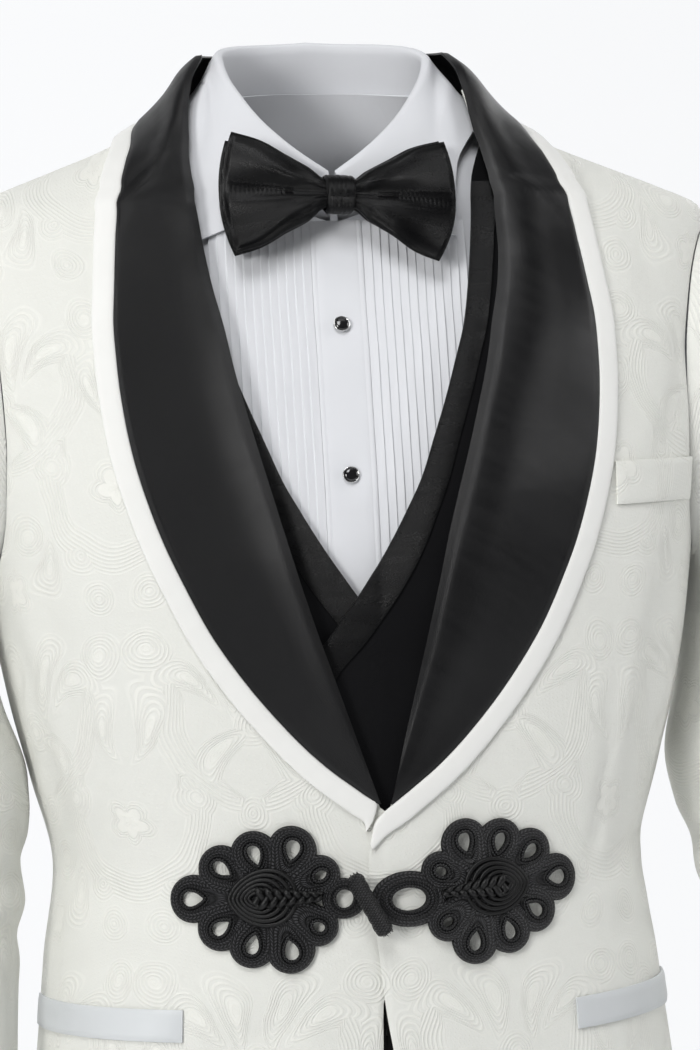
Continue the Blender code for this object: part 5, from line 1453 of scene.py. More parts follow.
def shirt_front(side_name, side):
    fine = np.linspace(SHIRT_ROWS[0], SHIRT_ROWS[-1], 90)
    start = edge_curve(fine, lambda h: q_at(SHIRT_NECK_X(h) + side * SHIRT_CENTRE(h), h))
    end = edge_curve(SHIRT_ROWS, lambda h: armhole_q(h, False, SHIRT_ARMPIT))
    rows = even_rows(SHIRT_ROWS[0], SHIRT_ROWS[-1], 0.0065, SHIRT_ROWS)
    q, height = panel(start, end, rows, 40)
    lift = shirt_lifts(q, height)[1] + drift(run_at(q, height) * side, height, 7.0 + side, 0.3) - 0.3 * MM
    made = Parts()
    made.wall(on_form(side * q, height, lift), panel_uv(q, height, side), 0.9 * MM, side)
    thing = made.object("shirt_front_%s_cloth" % side_name)
    dress(thing, [SHIRT_WHITE], ["shirt_front_" + side_name])
    cloth(thing)


def shirt_back():
    edge = edge_curve(SHIRT_ROWS, lambda h: armhole_q(h, True, SHIRT_ARMPIT))
    rows = even_rows(SHIRT_ROWS[0], SHIRT_ROWS[-1], 0.009, SHIRT_ROWS)
    q, height = panel(edge, lambda h: 4 - edge(h), rows, 60)
    lift = shirt_lifts(q, height)[1] - 0.3 * MM
    made = Parts()
    made.wall(on_form(q, height, lift), np.stack((q * 0.30, height), -1), 0.9 * MM, 1)
    thing = made.object("shirt_back_cloth")
    dress(thing, [SHIRT_WHITE], ["shirt_back"])
    cloth(thing)


TUCK_PITCH = {1: 0.0052, -1: 0.0050}


def shirt_bib(side_name, side):
    """Pin tucks beside the placket: each is a narrow flap that lies outwards over the next."""
    rows = np.linspace(BIB_END, BIB_TOP, 88)
    start = PLACKET_WIDTH / 2 + 0.4 * MM
    pitch = TUCK_PITCH[side]
    profile = [(start - 0.2 * MM, 0.05)]
    for k in range(PLEATS):
        edge = start + pitch * (k + 1)
        for back, rise in ((0.88, 0.10), (0.62, 0.34), (0.36, 0.62), (0.16, 0.86), (0.09, 0.92),
            (0.05, 0.70), (0.04, 0.10), (0.0, 0.02)):
            profile.append((edge - back * pitch, rise))
    offset = np.array([p[0] for p in profile])
    rise = np.array([p[1] for p in profile])
    q = np.array([[q_at(side * x + float(SHIRT_CENTRE(h)), h) for x in offset] for h in rows])
    height = np.broadcast_to(rows[:, None], q.shape)
    low, high = layer("bib", height)
    number = (offset - start) / pitch
    uneven = 0.16 * MM * np.sin(height * 46 + number[None] * 2.3) + 0.10 * MM * np.sin(height * 131
        - number[None] * 5.1)
    lift = high + rise[None] * (PLEAT_RISE * 0.95 + uneven)
    outer = on_form(q, height, lift)
    inner = on_form(q, height, low)
    length = np.concatenate(([0.0], np.cumsum(np.hypot(np.diff(offset), np.diff(rise) * PLEAT_RISE))))
    uv = np.stack((np.broadcast_to(length[None], q.shape) * side, height), -1)
    made = Parts()
    made.wall(outer, uv, out=side, inner=inner)
    thing = made.object("shirt_bib_%s_cloth" % side_name, 32)
    dress(thing, [SHIRT_WHITE], ["shirt_bib_" + side_name])
    cloth(thing)


def shirt_placket():
    rows = np.linspace(-0.375, BIB_TOP, 114)
    half = PLACKET_WIDTH / 2
    t = np.array([-1, -0.985, -0.95, -0.87, -0.83, -0.80, -0.77, -0.72, -0.45, -0.2, 0, 0.2, 0.45, 0.72,
        0.77, 0.80, 0.83, 0.87, 0.95, 0.985, 1])
    q = np.array([[q_at(float(SHIRT_CENTRE(h)) + half * x, h) for x in t] for h in rows])
    height = np.broadcast_to(rows[:, None], q.shape)
    low, high = layer("bib", height)
    stitch = 0.22 * MM * bump((np.abs(t) - 0.80) / 0.030)
    edge = 0.35 * MM * bump((1 - np.abs(t)) / 0.022)
    quilt = 0.05 * MM * np.sin(rows * 2 * math.pi / 0.0024)[:, None] * bump((np.abs(t) - 0.86) / 0.06)
    soft = 0.22 * MM * np.sin(height * 33 + t[None] * 1.3) * (1 - t[None] ** 2)
    lift = high + 0.3 * MM - stitch[None] - edge[None] + quilt + soft
    for stud_height, _ in STUDS:
        away = np.hypot((height - stud_height) / 0.0105, t[None] * half / 0.0085)
        lift = lift - 0.35 * MM * bump(away) + 0.25 * MM * bump((away - 1.7) / 0.5)
    made = Parts()
    uv = np.stack((np.broadcast_to(t[None] * half, q.shape), height), -1)
    made.wall(on_form(q, height, lift), uv, out=1, inner=on_form(q, height, low))
    thing = made.object("shirt_placket_cloth", 45)
    dress(thing, [SHIRT_WHITE], ["shirt_placket"])
    cloth(thing)


COLLAR_LEAF = (
    # turn, x, height of the leaf's outer edge
    (2, 0.003, -0.0415),
    (14, 0.024, -0.050),
    (30, 0.050, -0.0605),
    (46, 0.0775, -0.0710),
    (58, 0.0790, -0.052),
    (72, 0.0800, -0.028),
    (90, 0.0950, 0.006),
)
LEAF_SHIFT = Curve((0, 46, 58, 72, 90), (-0.0090, -0.0130, -0.0130, -0.0100, 0.0))
BASE_Z = Curve((0, 35, 65, 90, 135, 180), (-0.0635, -0.048, -0.014, 0.016, 0.026, 0.030))
FOLD_Z = Curve((0, 18, 36, 65, 90, 135, 180), (-0.036, -0.022, -0.006, 0.022, 0.040, 0.052, 0.056))


def collar_profile(turn):
    """The shirt collar's section at a turn round the neck, 0 at centre front and 180 at the back."""
    angle = math.radians(turn)
    side = math.sin(angle)
    fore = math.cos(angle)
    shift = -0.0075 * max(fore, 0.0)
    base = np.array((shift + 0.0660 * side, (-0.0655 if fore > 0 else -0.0640) * fore,
        float(BASE_Z(abs(turn)))))
    top = np.array((shift + 0.0610 * side, -0.0590 * fore, float(FOLD_Z(abs(turn)))))
    out = np.array((side, -fore, 0.0))
    return base, top, out


def shirt_collar():
    """Stand and turned-down leaf in one wall, from one end at centre front round to the other."""
    leaf_x, leaf_z = columns(COLLAR_LEAF)
    half = list(np.linspace(2, 180, 74))
    turns = half + [-t for t in reversed(half[:-1])]
    rows = []
    for turn in turns:
        base, top, out = collar_profile(turn)
        size = abs(turn)
        side = math.copysign(1, turn) if size < 180 else 1
        if size < 90:
            height = float(leaf_z(size))
            q = q_at(side * float(leaf_x(size)) + float(LEAF_SHIFT(size)), height)
        else:
            height = 0.006 + 0.010 * float(ease((size - 82) / 18))
            q = side * size / 90
        spread_out = float(ease((size - 50) / 20))
        edge = on_form(q, height, -4.8 * MM + 1.3 * MM * spread_out)
        crest = np.array((0.0, 0.0, 1.6 * MM))
        leaf_top = top + out * 5.4 * MM
        between = leaf_top * 0.5 + edge * 0.5
        lift = -4.9 * MM + 0.6 * MM * spread_out
        middle = on_form(q_at(between[0], between[2], size > 90), between[2], lift)
        foot = base + (out * 2.2 * MM - (0.0, 0.0, 6.0 * MM)) * float(ease((size - 100) / 40))
        key = np.array([foot, base * 0.5 + top * 0.5, top, top + out * 2.7 * MM + crest, leaf_top - crest,
            middle, edge])
        gone = np.concatenate(([0.0], np.cumsum(np.linalg.norm(np.diff(key, axis=0), axis=1))))
        spots = np.concatenate((np.linspace(0, gone[2], 7)[:-1], np.linspace(gone[2], gone[4], 7)[:-1],
            np.linspace(gone[4], gone[-1], 20)))
        rows.append(np.stack([Curve(gone, key[:, c])(spots) for c in range(3)], -1))
    grid = np.array(rows)
    normal = grid_normals(grid, False)
    leaf = np.arange(grid.shape[1]) - 12
    last = grid.shape[1] - 1 - np.arange(grid.shape[1])
    reach = np.linalg.norm(grid[:, -1] - grid[:, 12], axis=1)[:, None]
    from_edge = last[None] * reach / 19
    stitch = -0.22 * MM * bump((from_edge - 5.5 * MM) / (0.8 * MM)) * (leaf[None] > 0)
    turn_size = np.abs(np.array(turns))[:, None]
    end_run = np.minimum(turn_size - 2, 200) * 0.0011
    stitch = stitch - 0.2 * MM * bump((end_run - 5.5 * MM) / (0.9
        * MM)) * (leaf[None] > 0) * (from_edge > 5 * MM)
    swell = 0.8 * MM * np.sin(math.pi * np.clip(leaf[None] / 19, 0, 1)) * bump((turn_size - 30) / 30)
    grid = grid + normal * (stitch + swell)[..., None]
    run = np.concatenate(([0.0], np.cumsum(np.linalg.norm(np.diff(grid[:, 12], axis=0), axis=1))))
    down = np.concatenate(([0.0], np.cumsum(np.linalg.norm(np.diff(grid[10], axis=0), axis=1))))
    made = Parts()
    uv = np.stack(np.broadcast_arrays(run[:, None], down[None]), -1)
    made.wall(grid + normal * 0.6 * MM, uv, 1.2 * MM, 1, inner=grid - normal * 0.6 * MM)
    thing = made.object("shirt_collar_cloth", 55)
    dress(thing, [SHIRT_WHITE], ["shirt_collar"])
    cloth(thing)


def shirt_sleeve(side_name, side):
    loop = armhole_loop(lambda q, h: shirt_lifts(q, h)[1], SEAM_GAP + 0.6 * MM, SHIRT_ARMPIT, SHIRT_ROWS)
    curves = columns(SLEEVE)
    slim = 7.5 * MM
    level = sleeve_ring(curves, side, SLEEVE[0][0], slim)
    rings = []
    bend = np.stack((0.8 * level[:, 0] + 0.2 * loop[:, 0], 0.6 * level[:, 1] + 0.4 * loop[:, 1],
        loop[:, 2] - 0.004), -1)
    for t in np.linspace(0, 1, 16)[:-1]:
        rings.append((1 - t) ** 2 * loop + 2 * t * (1 - t) * bend + t * t * level)
    for height in even_rows(-0.650, SLEEVE[0][0], 0.010)[::-1]:
        rings.append(sleeve_ring(curves, side, float(height), slim))
    low = sleeve_ring(curves, side, -0.650, slim)
    for drop in (0.004, 0.008, 0.0112, 0.0120):
        ring = low.copy()
        ring[:, 2] -= drop
        rings.append(ring)
    rings = np.array(rings)
    rings[:, :, 0] *= side
    length = np.concatenate(([0.0],
        np.cumsum(np.linalg.norm(np.diff(rings[:, AROUND // 4], axis=0), axis=1))))
    uv = np.stack(np.broadcast_arrays(np.linspace(0, 0.29, AROUND + 1)[None], -length[:, None]), -1)
    flip = 1 if np.mean(grid_normals(rings, True)[30, 0, 0] * side) > 0 else -1
    made = Parts()
    made.wall(rings, uv, 0.9 * MM, flip, closed=True)
    thing = made.object("shirt_sleeve_%s_cloth" % side_name)
    dress(thing, [SHIRT_WHITE], ["shirt_sleeve_" + side_name])
    cloth(thing)


def stud(number, height, rest):
    """A round stud: a black enamel dome in a polished rim."""
    centre_q = q_at(float(SHIRT_CENTRE(height)), height)
    lift = float(layer("bib", height)[1]) + rest
    centre = on_form(centre_q, height, lift)
    out = on_form(centre_q, height, lift + 1.0) - centre
    across = np.array((1.0, 0.0, 0.0))
    across -= out * across.dot(out)
    across /= np.linalg.norm(across)
    up = np.cross(across, out)
    made = Parts()
    turn = 2 * math.pi * np.arange(40) / 40
    rim = ((0.36, 0.0), (0.49, 0.0007), (0.500, 0.0012), (0.495, 0.0017), (0.470, 0.00205),
        (0.440, 0.0021), (0.415, 0.0018), (0.405, 0.0014))
    dome = ((0.408, 0.0012), (0.404, 0.0018), (0.36, 0.00235), (0.28, 0.0027), (0.18, 0.0029),
        (0.08, 0.00298), (0.02, 0.0030))
    for slot_index, profile in ((1, rim), (0, dome)):
        rings = np.array([
            centre + out * rise + STUD_WIDTH * radius
                * (across * np.cos(turn)[:, None] + up * np.sin(turn)[:, None])
            for radius, rise in profile
        ])
        uv = np.stack(np.meshgrid(np.linspace(0, 0.03, 41), np.linspace(0, 0.005, len(profile))), -1)
        made.closed_rings(rings, uv, slot_index)
    thing = made.object("stud_%d_enamel" % number, 60)
    dress(thing, [ENAMEL, SILVER], ["stud_%d" % number])


# ---------------------------------------------------------------- bow tie
BOW_CENTRE = np.array((-0.0070, -0.0797, -0.0480))
BOW_TILT = math.radians(3.5)
BOW = (
    (0.0000, 0.0075, 0.0075, 0.0032),
    (0.0085, 0.0085, 0.0085, 0.0036),
    (0.0180, 0.0150, 0.0165, 0.0052),
    (0.0330, 0.0225, 0.0240, 0.0060),
    (0.0500, 0.0300, 0.0320, 0.0050),
    (0.0690, 0.0345, 0.0375, 0.0032),
)


def leaned(x, y, z, tilt):
    """Points turned by tilt in the bow's plane."""
    return np.stack(np.broadcast_arrays(x * math.cos(tilt) + z * math.sin(tilt), y,
        z * math.cos(tilt) - x * math.sin(tilt)), -1)


def bow_body(depth, grow, turn_by):
    """Both wings of one bow: two soft lobes with a sharp fold between them, puckered at the knot."""
    up, down, thick = columns(BOW)
    inner_end = np.linspace(-1, 1, 221)
    place = np.sign(inner_end) * (np.abs(inner_end) ** 0.95) * BOW[-1][0]
    x = np.abs(place)[:, None]
    side = np.sign(place)[:, None]
    turn = (2 * math.pi * np.arange(88) / 88)[None]
    high = np.sin(turn)
    fan = ease(x / 0.02)
    tall = np.where(high > 0, up(x), down(x))
    z = tall * (1 + grow * fan) * np.sign(high) * np.abs(high) ** 0.8
    rel = z / np.maximum(tall, 1e-6)
    face = -np.cos(turn)
    line = rel - 0.05 + 0.10 * x / 0.069
    valley = np.where(line > 0, bump(line / 0.30), bump(line / 0.10))
    crest = 1.0 + 0.16 * bump((rel - 0.55) / 0.25) + 0.16 * bump((rel + 0.42) / 0.25)
    y = thick(x) * face * crest * (1 - (0.92 - 0.30 * ease((x - 0.045) / 0.024)) * fan * valley)
    fine = np.zeros(np.broadcast(x, z).shape)
    for k, (slope, width, deep, long) in enumerate((
        (0.30, 0.05, 0.75, 0.020), (-0.27, 0.05, 0.8, 0.022), (0.60, 0.06, 0.5, 0.013),
            (-0.62, 0.06, 0.5, 0.015),
        (0.44, 0.035, 0.4, 0.016), (-0.44, 0.035, 0.4, 0.012), (0.80, 0.05, 0.4, 0.010),
            (-0.82, 0.05, 0.4, 0.011),
    )):
        fine += deep * MM * bump((rel - slope - 0.03 * side * (k % 2)) / width) * bump((x - 0.010) / long)
    slack = 0.5 * MM * np.sin(x * 95 + rel * 3.0 + side) * fan * bump((np.abs(rel) - 0.5) / 0.3)
    tucks = 0.22 * MM * np.sin(x * 2 * math.pi / 0.0026 + rel
        * 9) * bump((line + 0.02) / 0.06) * ease((x - 0.028) / 0.012)
    edge_x = 1 - 0.45 * ease((x - 0.0655) / 0.0035)
    front_face = np.where(face < 0, 1.0, 0.3)
    y = (y + np.sign(-face) * (fine + slack + tucks) * front_face * np.abs(face) ** 0.5) * edge_x
    bend = 0.5 * x * x + 0.30 * z
    cut = np.where(high > 0, 0.0060,
        np.where(side < 0, 0.0080, 0.0110)) * rel * rel * ease((x - 0.02) / 0.049)
    out = place[:, None] - side * cut
    rings = BOW_CENTRE + leaned(out, y + bend + depth, z, BOW_TILT + turn_by)
    around = np.linspace(0, 0.13, 89)
    uv = np.stack(np.broadcast_arrays(place[:, None], around[None]), -1)
    return rings, uv


def bow_tie():
    for name, depth, grow, lean in (("bow_front", -0.0058, 0.0, 0.0),
        ("bow_back", 0.0056, -0.04, math.radians(-2.5))):
        rings, uv = bow_body(depth, grow, lean)
        made = Parts()
        made.closed_rings(rings, uv)
        girth, long, skin = measured(rings, closed=True)
        made.flat = skin / 2
        thing = made.object(name + "_satin", 60)
        dress(thing, [SATIN_BLACK], [name])
        cloth(thing)
    t = np.linspace(-1, 1, 41)[:, None]
    turn = (2 * math.pi * np.arange(64) / 64)[None]
    waist = 1.03 - 0.03 * t * t
    wrinkle = 0.0
    for at, deep, width, sway in ((-0.66, 0.22, 0.10, 0.12), (-0.25, 0.12, 0.07, -0.14),
        (0.10, 0.20, 0.09, 0.12), (0.56, 0.18, 0.10, -0.10)):
        wrinkle = wrinkle - deep * MM * bump((t - at - sway * np.sin(turn * 1.5 + at * 7)) / width)
    wrinkle = wrinkle + 0.2 * MM + 0.06 * MM * np.sin(t * 23 - turn * 2.5)
    end = -1.0 * MM * bump((1 - np.abs(t)) / 0.10)
    made = Parts()
    sides = []
    for grow in (0.0, 1.4 * MM):
        more = grow + (wrinkle + end if grow else 0.0)
        z = (0.0098 + more) * waist * np.sign(np.sin(turn)) * np.abs(np.sin(turn)) ** 0.7
        y = -(0.0104 + more) * waist * np.sign(np.cos(turn)) * np.abs(np.cos(turn)) ** 0.7 + 0.30 * z
        x = 0.0084 * t * (1.0 + 0.08 * z / 0.0112) + 0 * z
        sides.append(BOW_CENTRE + leaned(x, y, z, BOW_TILT))
    uv = np.stack(np.broadcast_arrays(0.0084 * t, np.linspace(0, 0.075, 65)[None]), -1)
    made.wall(sides[1], uv, closed=True, inner=sides[0])
    thing = made.object("bow_knot_satin", 60)
    dress(thing, [SATIN_BLACK], ["bow_knot"])
    cloth(thing)


def bow_band():
    """The band round the neck, between the collar's stand and its leaf."""
    half = list(np.linspace(2, 180, 50))
    turns = half + [-t for t in reversed(half[:-1])]
    share = np.linspace(0.24, 0.52, 9)
    low, high = [], []
    for turn in turns:
        base, top, out = collar_profile(turn)
        bow = 2.4 * MM * float(ease((20 - abs(turn)) / 20))
        centre = base[None] + (top - base)[None] * share[:, None]
        low.append(centre + out * (1.1 * MM + bow))
        high.append(centre + out * (2.1 * MM + bow))
    low, high = np.array(low), np.array(high)
    run = np.concatenate(([0.0], np.cumsum(np.linalg.norm(np.diff(high[:, 4], axis=0), axis=1))))
    made = Parts()
    uv = np.stack(np.broadcast_arrays(run[:, None], share[None] * 0.029), -1)
    made.wall(high, uv, inner=low)
    thing = made.object("bow_band_satin", 60)
    dress(thing, [SATIN_BLACK], ["bow_band"])
    cloth(thing)


# ---------------------------------------------------------------- frog closure
# Loops of one motif, from its centre: outwards, up, half length and half width of the hole, and
# the direction it points in, in degrees.
FROG_LOOPS = (
    (+0.0400, +0.0000, 0.0062, 0.0044, 0),
    (+0.0230, +0.0168, 0.0058, 0.0038, 38),
    (+0.0040, +0.0245, 0.0058, 0.0038, 75),
    (-0.0175, +0.0268, 0.0060, 0.0040, 105),
    (-0.0325, +0.0120, 0.0036, 0.0027, 150),
    (+0.0235, -0.0162, 0.0058, 0.0038, -38),
    (+0.0055, -0.0262, 0.0058, 0.0038, -75),
    (-0.0160, -0.0300, 0.0060, 0.0040, -105),
    (-0.0315, -0.0175, 0.0036, 0.0027, -150),
)
FROG_CENTRE = (0.0157, 0.0132)
FROG_PLACES = {
    "left": (0.0640, -0.0005, 3.0, 0.0117, 0.0220, 0.0165, 0.0125, 0.0085),
    "right": (0.0700, -0.0015, 0.0, 0.0240, 0.0128, 0.0120, 0.0052, 0.0055),
}


def drop_shape(centre, half, lean, turn, point):
    """A teardrop round a centre; its point faces away from lean, and point 0 makes an ellipse."""
    x = -half[0] * np.cos(turn)
    y = half[1] * np.sin(turn) * np.abs(np.sin(turn / 2)) ** point * (1 + 0.30 * point)
    return np.stack((centre[0] + x * math.cos(lean) - y * math.sin(lean),
        centre[1] + x * math.sin(lean) + y * math.cos(lean)), -1)


def frog(side_name, side):
    x, rise, tilt, eye, wide, tall, hole_wide, hole_tall = FROG_PLACES[side_name]
    centre_height = FROG_HEIGHT + rise
    centre_q = q_at(x, centre_height)
    lean = math.radians(tilt)

    def place(spot, above):
        """Points at (outwards, up) spots of the motif, above the cloth."""
        out = spot[..., 0] * math.cos(lean) - spot[..., 1] * math.sin(lean)
        up = spot[..., 0] * math.sin(lean) + spot[..., 1] * math.cos(lean)
        height = centre_height + up
        q = centre_q + q_step(out, height)
        lift = FROG_REST + above + lapel_raise(side, q,
            height) + np.maximum(jacket_relief(side, q, height), -0.2 * MM)
        return on_form(side * q, height, lift)

    made = Parts()
    count = 64
    turn = 2 * math.pi * np.arange(count) / count
    across = np.linspace(0, 1, 9)

    def band(hole, rim, base, top, dip_at, dip, tip=0.0):
        """A flat braid round a hole, domed, and lower where it passes under its neighbours."""
        spot = hole[:, None] * (1 - across[None, :, None]) + rim[:, None] * across[None, :, None]
        dome = 1 - np.abs(2 * across - 1) ** 4
        under = dip * bump((np.angle(np.exp(1j * (turn - dip_at))) / 0.8))
        high = base + (top - base) * (0.52 + 0.48 * dome)[None] - under[:, None] + tip * np.cos(turn)[:,
            None] * across[None]
        outer = place(spot, high)
        inner = place(spot, np.maximum(high - 1.9 * MM, 0.0 * high))
        middle = spot[:, 5]
        run = np.concatenate(([0.0],
            np.cumsum(np.linalg.norm(np.diff(np.concatenate((middle, middle[:1])), axis=0), axis=1))))
        uv = np.stack(np.broadcast_arrays(run[:, None], across[None]), -1)
        made.wall(outer.transpose(1, 0, 2), uv.transpose(1, 0, 2), closed=True,
            inner=inner.transpose(1, 0, 2))

    def piping(line, above, radius, closed=True, slot=1, taper=None, flat=1.0):
        """A round cord along a line of spots."""
        path = place(line, above)
        over = place(line, np.asarray(above) + 1.0 * MM)
        out = over - path
        out /= np.linalg.norm(out, axis=1, keepdims=True)
        ahead = np.gradient(path, axis=0) if not closed else np.roll(path, -1, 0) - np.roll(path, 1, 0)
        aside = np.cross(ahead, out)
        aside /= np.linalg.norm(aside, axis=1, keepdims=True)
        made.tube(path, aside, out, radius, radius * flat, closed, 9, taper, slot, 1.0)

    core = np.array((-0.006, 0.0))
    for k, (s, h, a, b, degrees) in enumerate(FROG_LOOPS):
        lean_to = math.radians(degrees)
        small = a < 0.004
        hole = drop_shape((s, h), (a + 0.2 * MM, b + 0.1 * MM), lean_to, turn, 0.0 if small else 0.8)
        away = core - (s, h)
        toward = math.atan2(away[1], away[0])
        facing = lean_to + math.pi - turn
        reach = max(0.86 * float(np.hypot(*away)), FROG_LOBE)
        lobe = FROG_LOBE * (0.80 if small else 0.97)
        radius = lobe + (reach - lobe) * np.maximum(np.cos(facing - toward), 0.0) ** 5
        rim = np.array((s, h)) + radius[:, None] * np.stack((np.cos(facing), np.sin(facing)), -1)
        order = (0.0, 0.5, 0.9, 1.3, 1.7, 0.6, 1.0, 1.4, 1.8)[k] * MM
        band(hole, rim, 0.1 * MM, 2.0 * MM + order, 0.0, 0.6 * MM)
        line = drop_shape((s, h), (a + 0.9 * MM, b + 0.8 * MM), lean_to, turn, 0.0 if small else 0.75)
        piping(line, 2.2 * MM + order, 0.95 * MM)
        line = drop_shape((s, h), (a + 2.9 * MM, b + 2.7 * MM), lean_to, turn, 0.0 if small else 0.45)
        piping(line, 2.3 * MM + order, 0.50 * MM, flat=0.8)
    eye_at = (eye - x, -0.0020)
    hole_size = (hole_wide * 0.80, hole_tall * 0.78) if side > 0 else (hole_wide, hole_tall)
    hole = drop_shape(eye_at, hole_size, -lean, turn, 0.0)
    rim = drop_shape(eye_at, (wide * 0.99, tall * 0.97), -lean, turn, 0.0)
    band(hole, rim, 0.2 * MM, 3.4 * MM, math.pi, 0.4 * MM)
    piping(hole * 0.90 + rim * 0.10, 3.1 * MM, 0.95 * MM)
    piping(hole * 0.55 + rim * 0.45, 3.7 * MM, 0.55 * MM, flat=0.8)
    coil = np.linspace(0, 1, 9)
    disc = []
    for t in coil:
        disc.append(drop_shape((0.0010, 0.0),
            (FROG_CENTRE[0] * 1.12 * max(t, 0.02), FROG_CENTRE[1] * 1.08 * max(t, 0.02)), math.pi, turn, 0.3))
    disc = np.array(disc)
    dome = (4.4 - 1.2 * coil**2)[:, None] * MM + 0 * turn[None]
    uv = np.stack((disc[..., 0] - 0.001, disc[..., 1] / 0.0085 + 0.5), -1)
    made.wall(place(disc, dome), np.concatenate((uv, uv[:, :1]), axis=1), closed=True,
        inner=place(disc, dome - 2.4 * MM))
    for size, above, radius in ((1.20, 3.3, 1.35), (1.00, 4.0, 1.35), (0.80, 4.5, 1.30),
        (0.60, 4.9, 1.25), (0.41, 5.1, 1.15), (0.24, 5.2, 1.0)):
        line = drop_shape((0.0010 + 0.004 * (1 - size), 0.0),
            (FROG_CENTRE[0] * size, FROG_CENTRE[1] * size), math.pi, turn, 0.35)
        piping(line, above * MM, radius * MM, slot=0, flat=0.85)
    s = np.linspace(0.004, -0.033, 90)
    reach = np.linspace(0.0050, 0.0016, 90)
    for strand in range(3):
        phase = s * 2 * math.pi / 0.0155 + strand * 2 * math.pi / 3
        line = np.stack((s, reach * np.sin(phase)), -1)
        piping(line, (5.7 + 1.2 * np.sin(2 * phase)) * MM - ease((-0.024 - s) / 0.010) * 1.6 * MM,
            1.9 * MM, False, 0, np.linspace(1.1, 0.72, 90), 0.85)
    thing = made.object("frog_%s_braid" % side_name, 60)
    dress(thing, [BRAID_BLACK, CORD_BLACK], ["frog_" + side_name])


def toggle():
    """A bar of wound braid, lying slantwise over the front edge, with a few loose ends."""
    height = -0.4560
    rest = FROG_REST + FROG_THICKNESS + LAP + 0.2 * MM
    middle = on_form(q_at(-0.0118, height), height, rest + TOGGLE_RADIUS)
    along = np.array((0.0190, -0.0010, -0.0347))
    along /= np.linalg.norm(along)
    across = np.cross(along, (0.0, -1.0, 0.0))
    across /= np.linalg.norm(across)
    out = np.cross(across, along)
    girth = Curve((-0.50, -0.485, -0.455, -0.40, -0.12, 0.12, 0.40, 0.455, 0.485, 0.50),
        (0.30, 0.66, 0.90, 1.0, 0.93, 0.93, 1.0, 0.90, 0.66, 0.30))
    t = np.linspace(-0.5, 0.5, 121)
    turn = 2 * math.pi * np.arange(48) / 48
    wind = 0.22 * MM * (np.abs(np.sin((t[:, None] * TOGGLE_LENGTH / 0.0052 + turn[None] / (2 * math.pi))
        * math.pi)) - 0.6)
    wind += 0.14 * MM * (np.abs(np.sin((t[:, None] * TOGGLE_LENGTH / 0.0052 - turn[None] / (2 * math.pi))
        * math.pi)) - 0.6)
    radius = TOGGLE_RADIUS * 0.97 * girth(t)[:, None] + wind
    ring = across[None, None] * np.cos(turn)[None, :, None] + out[None, None] * np.sin(turn)[None, :, None]
    rings = middle + along * (t * TOGGLE_LENGTH)[:, None, None] + radius[..., None] * ring
    uv = np.stack(np.broadcast_arrays((t * TOGGLE_LENGTH)[:, None], np.linspace(0, 0.029, 49)[None]), -1)
    made = Parts()
    made.closed_rings(rings, uv)
    for end in (-1, 1):
        for k in range(14):
            angle = 2.4 * k + end
            spread = 0.35 + 0.55 * ((k * 0.618) % 1)
            start = middle + along * end * TOGGLE_LENGTH * 0.470 + TOGGLE_RADIUS * spread * (across
                * math.cos(angle) + out * math.sin(angle))
            lean = along * end + 0.35 * (across * math.cos(angle * 1.7) + out * math.sin(angle * 1.3))
            lean /= np.linalg.norm(lean)
            steps = np.linspace(0, 1, 5)[:, None]
            path = start + lean * steps * (1.5 + 0.7 * ((k * 0.37) % 1)) * MM
            side_way = np.cross(lean, across)
            side_way /= np.linalg.norm(side_way)
            other = np.cross(lean, side_way)
            made.tube(path, np.repeat(side_way[None], 5, 0), np.repeat(other[None], 5, 0), 0.30 * MM,
                0.30 * MM, False, 5, np.linspace(1, 0.4, 5))
    thing = made.object("frog_toggle_braid", 60)
    dress(thing, [CORD_BLACK], ["frog_toggle"])


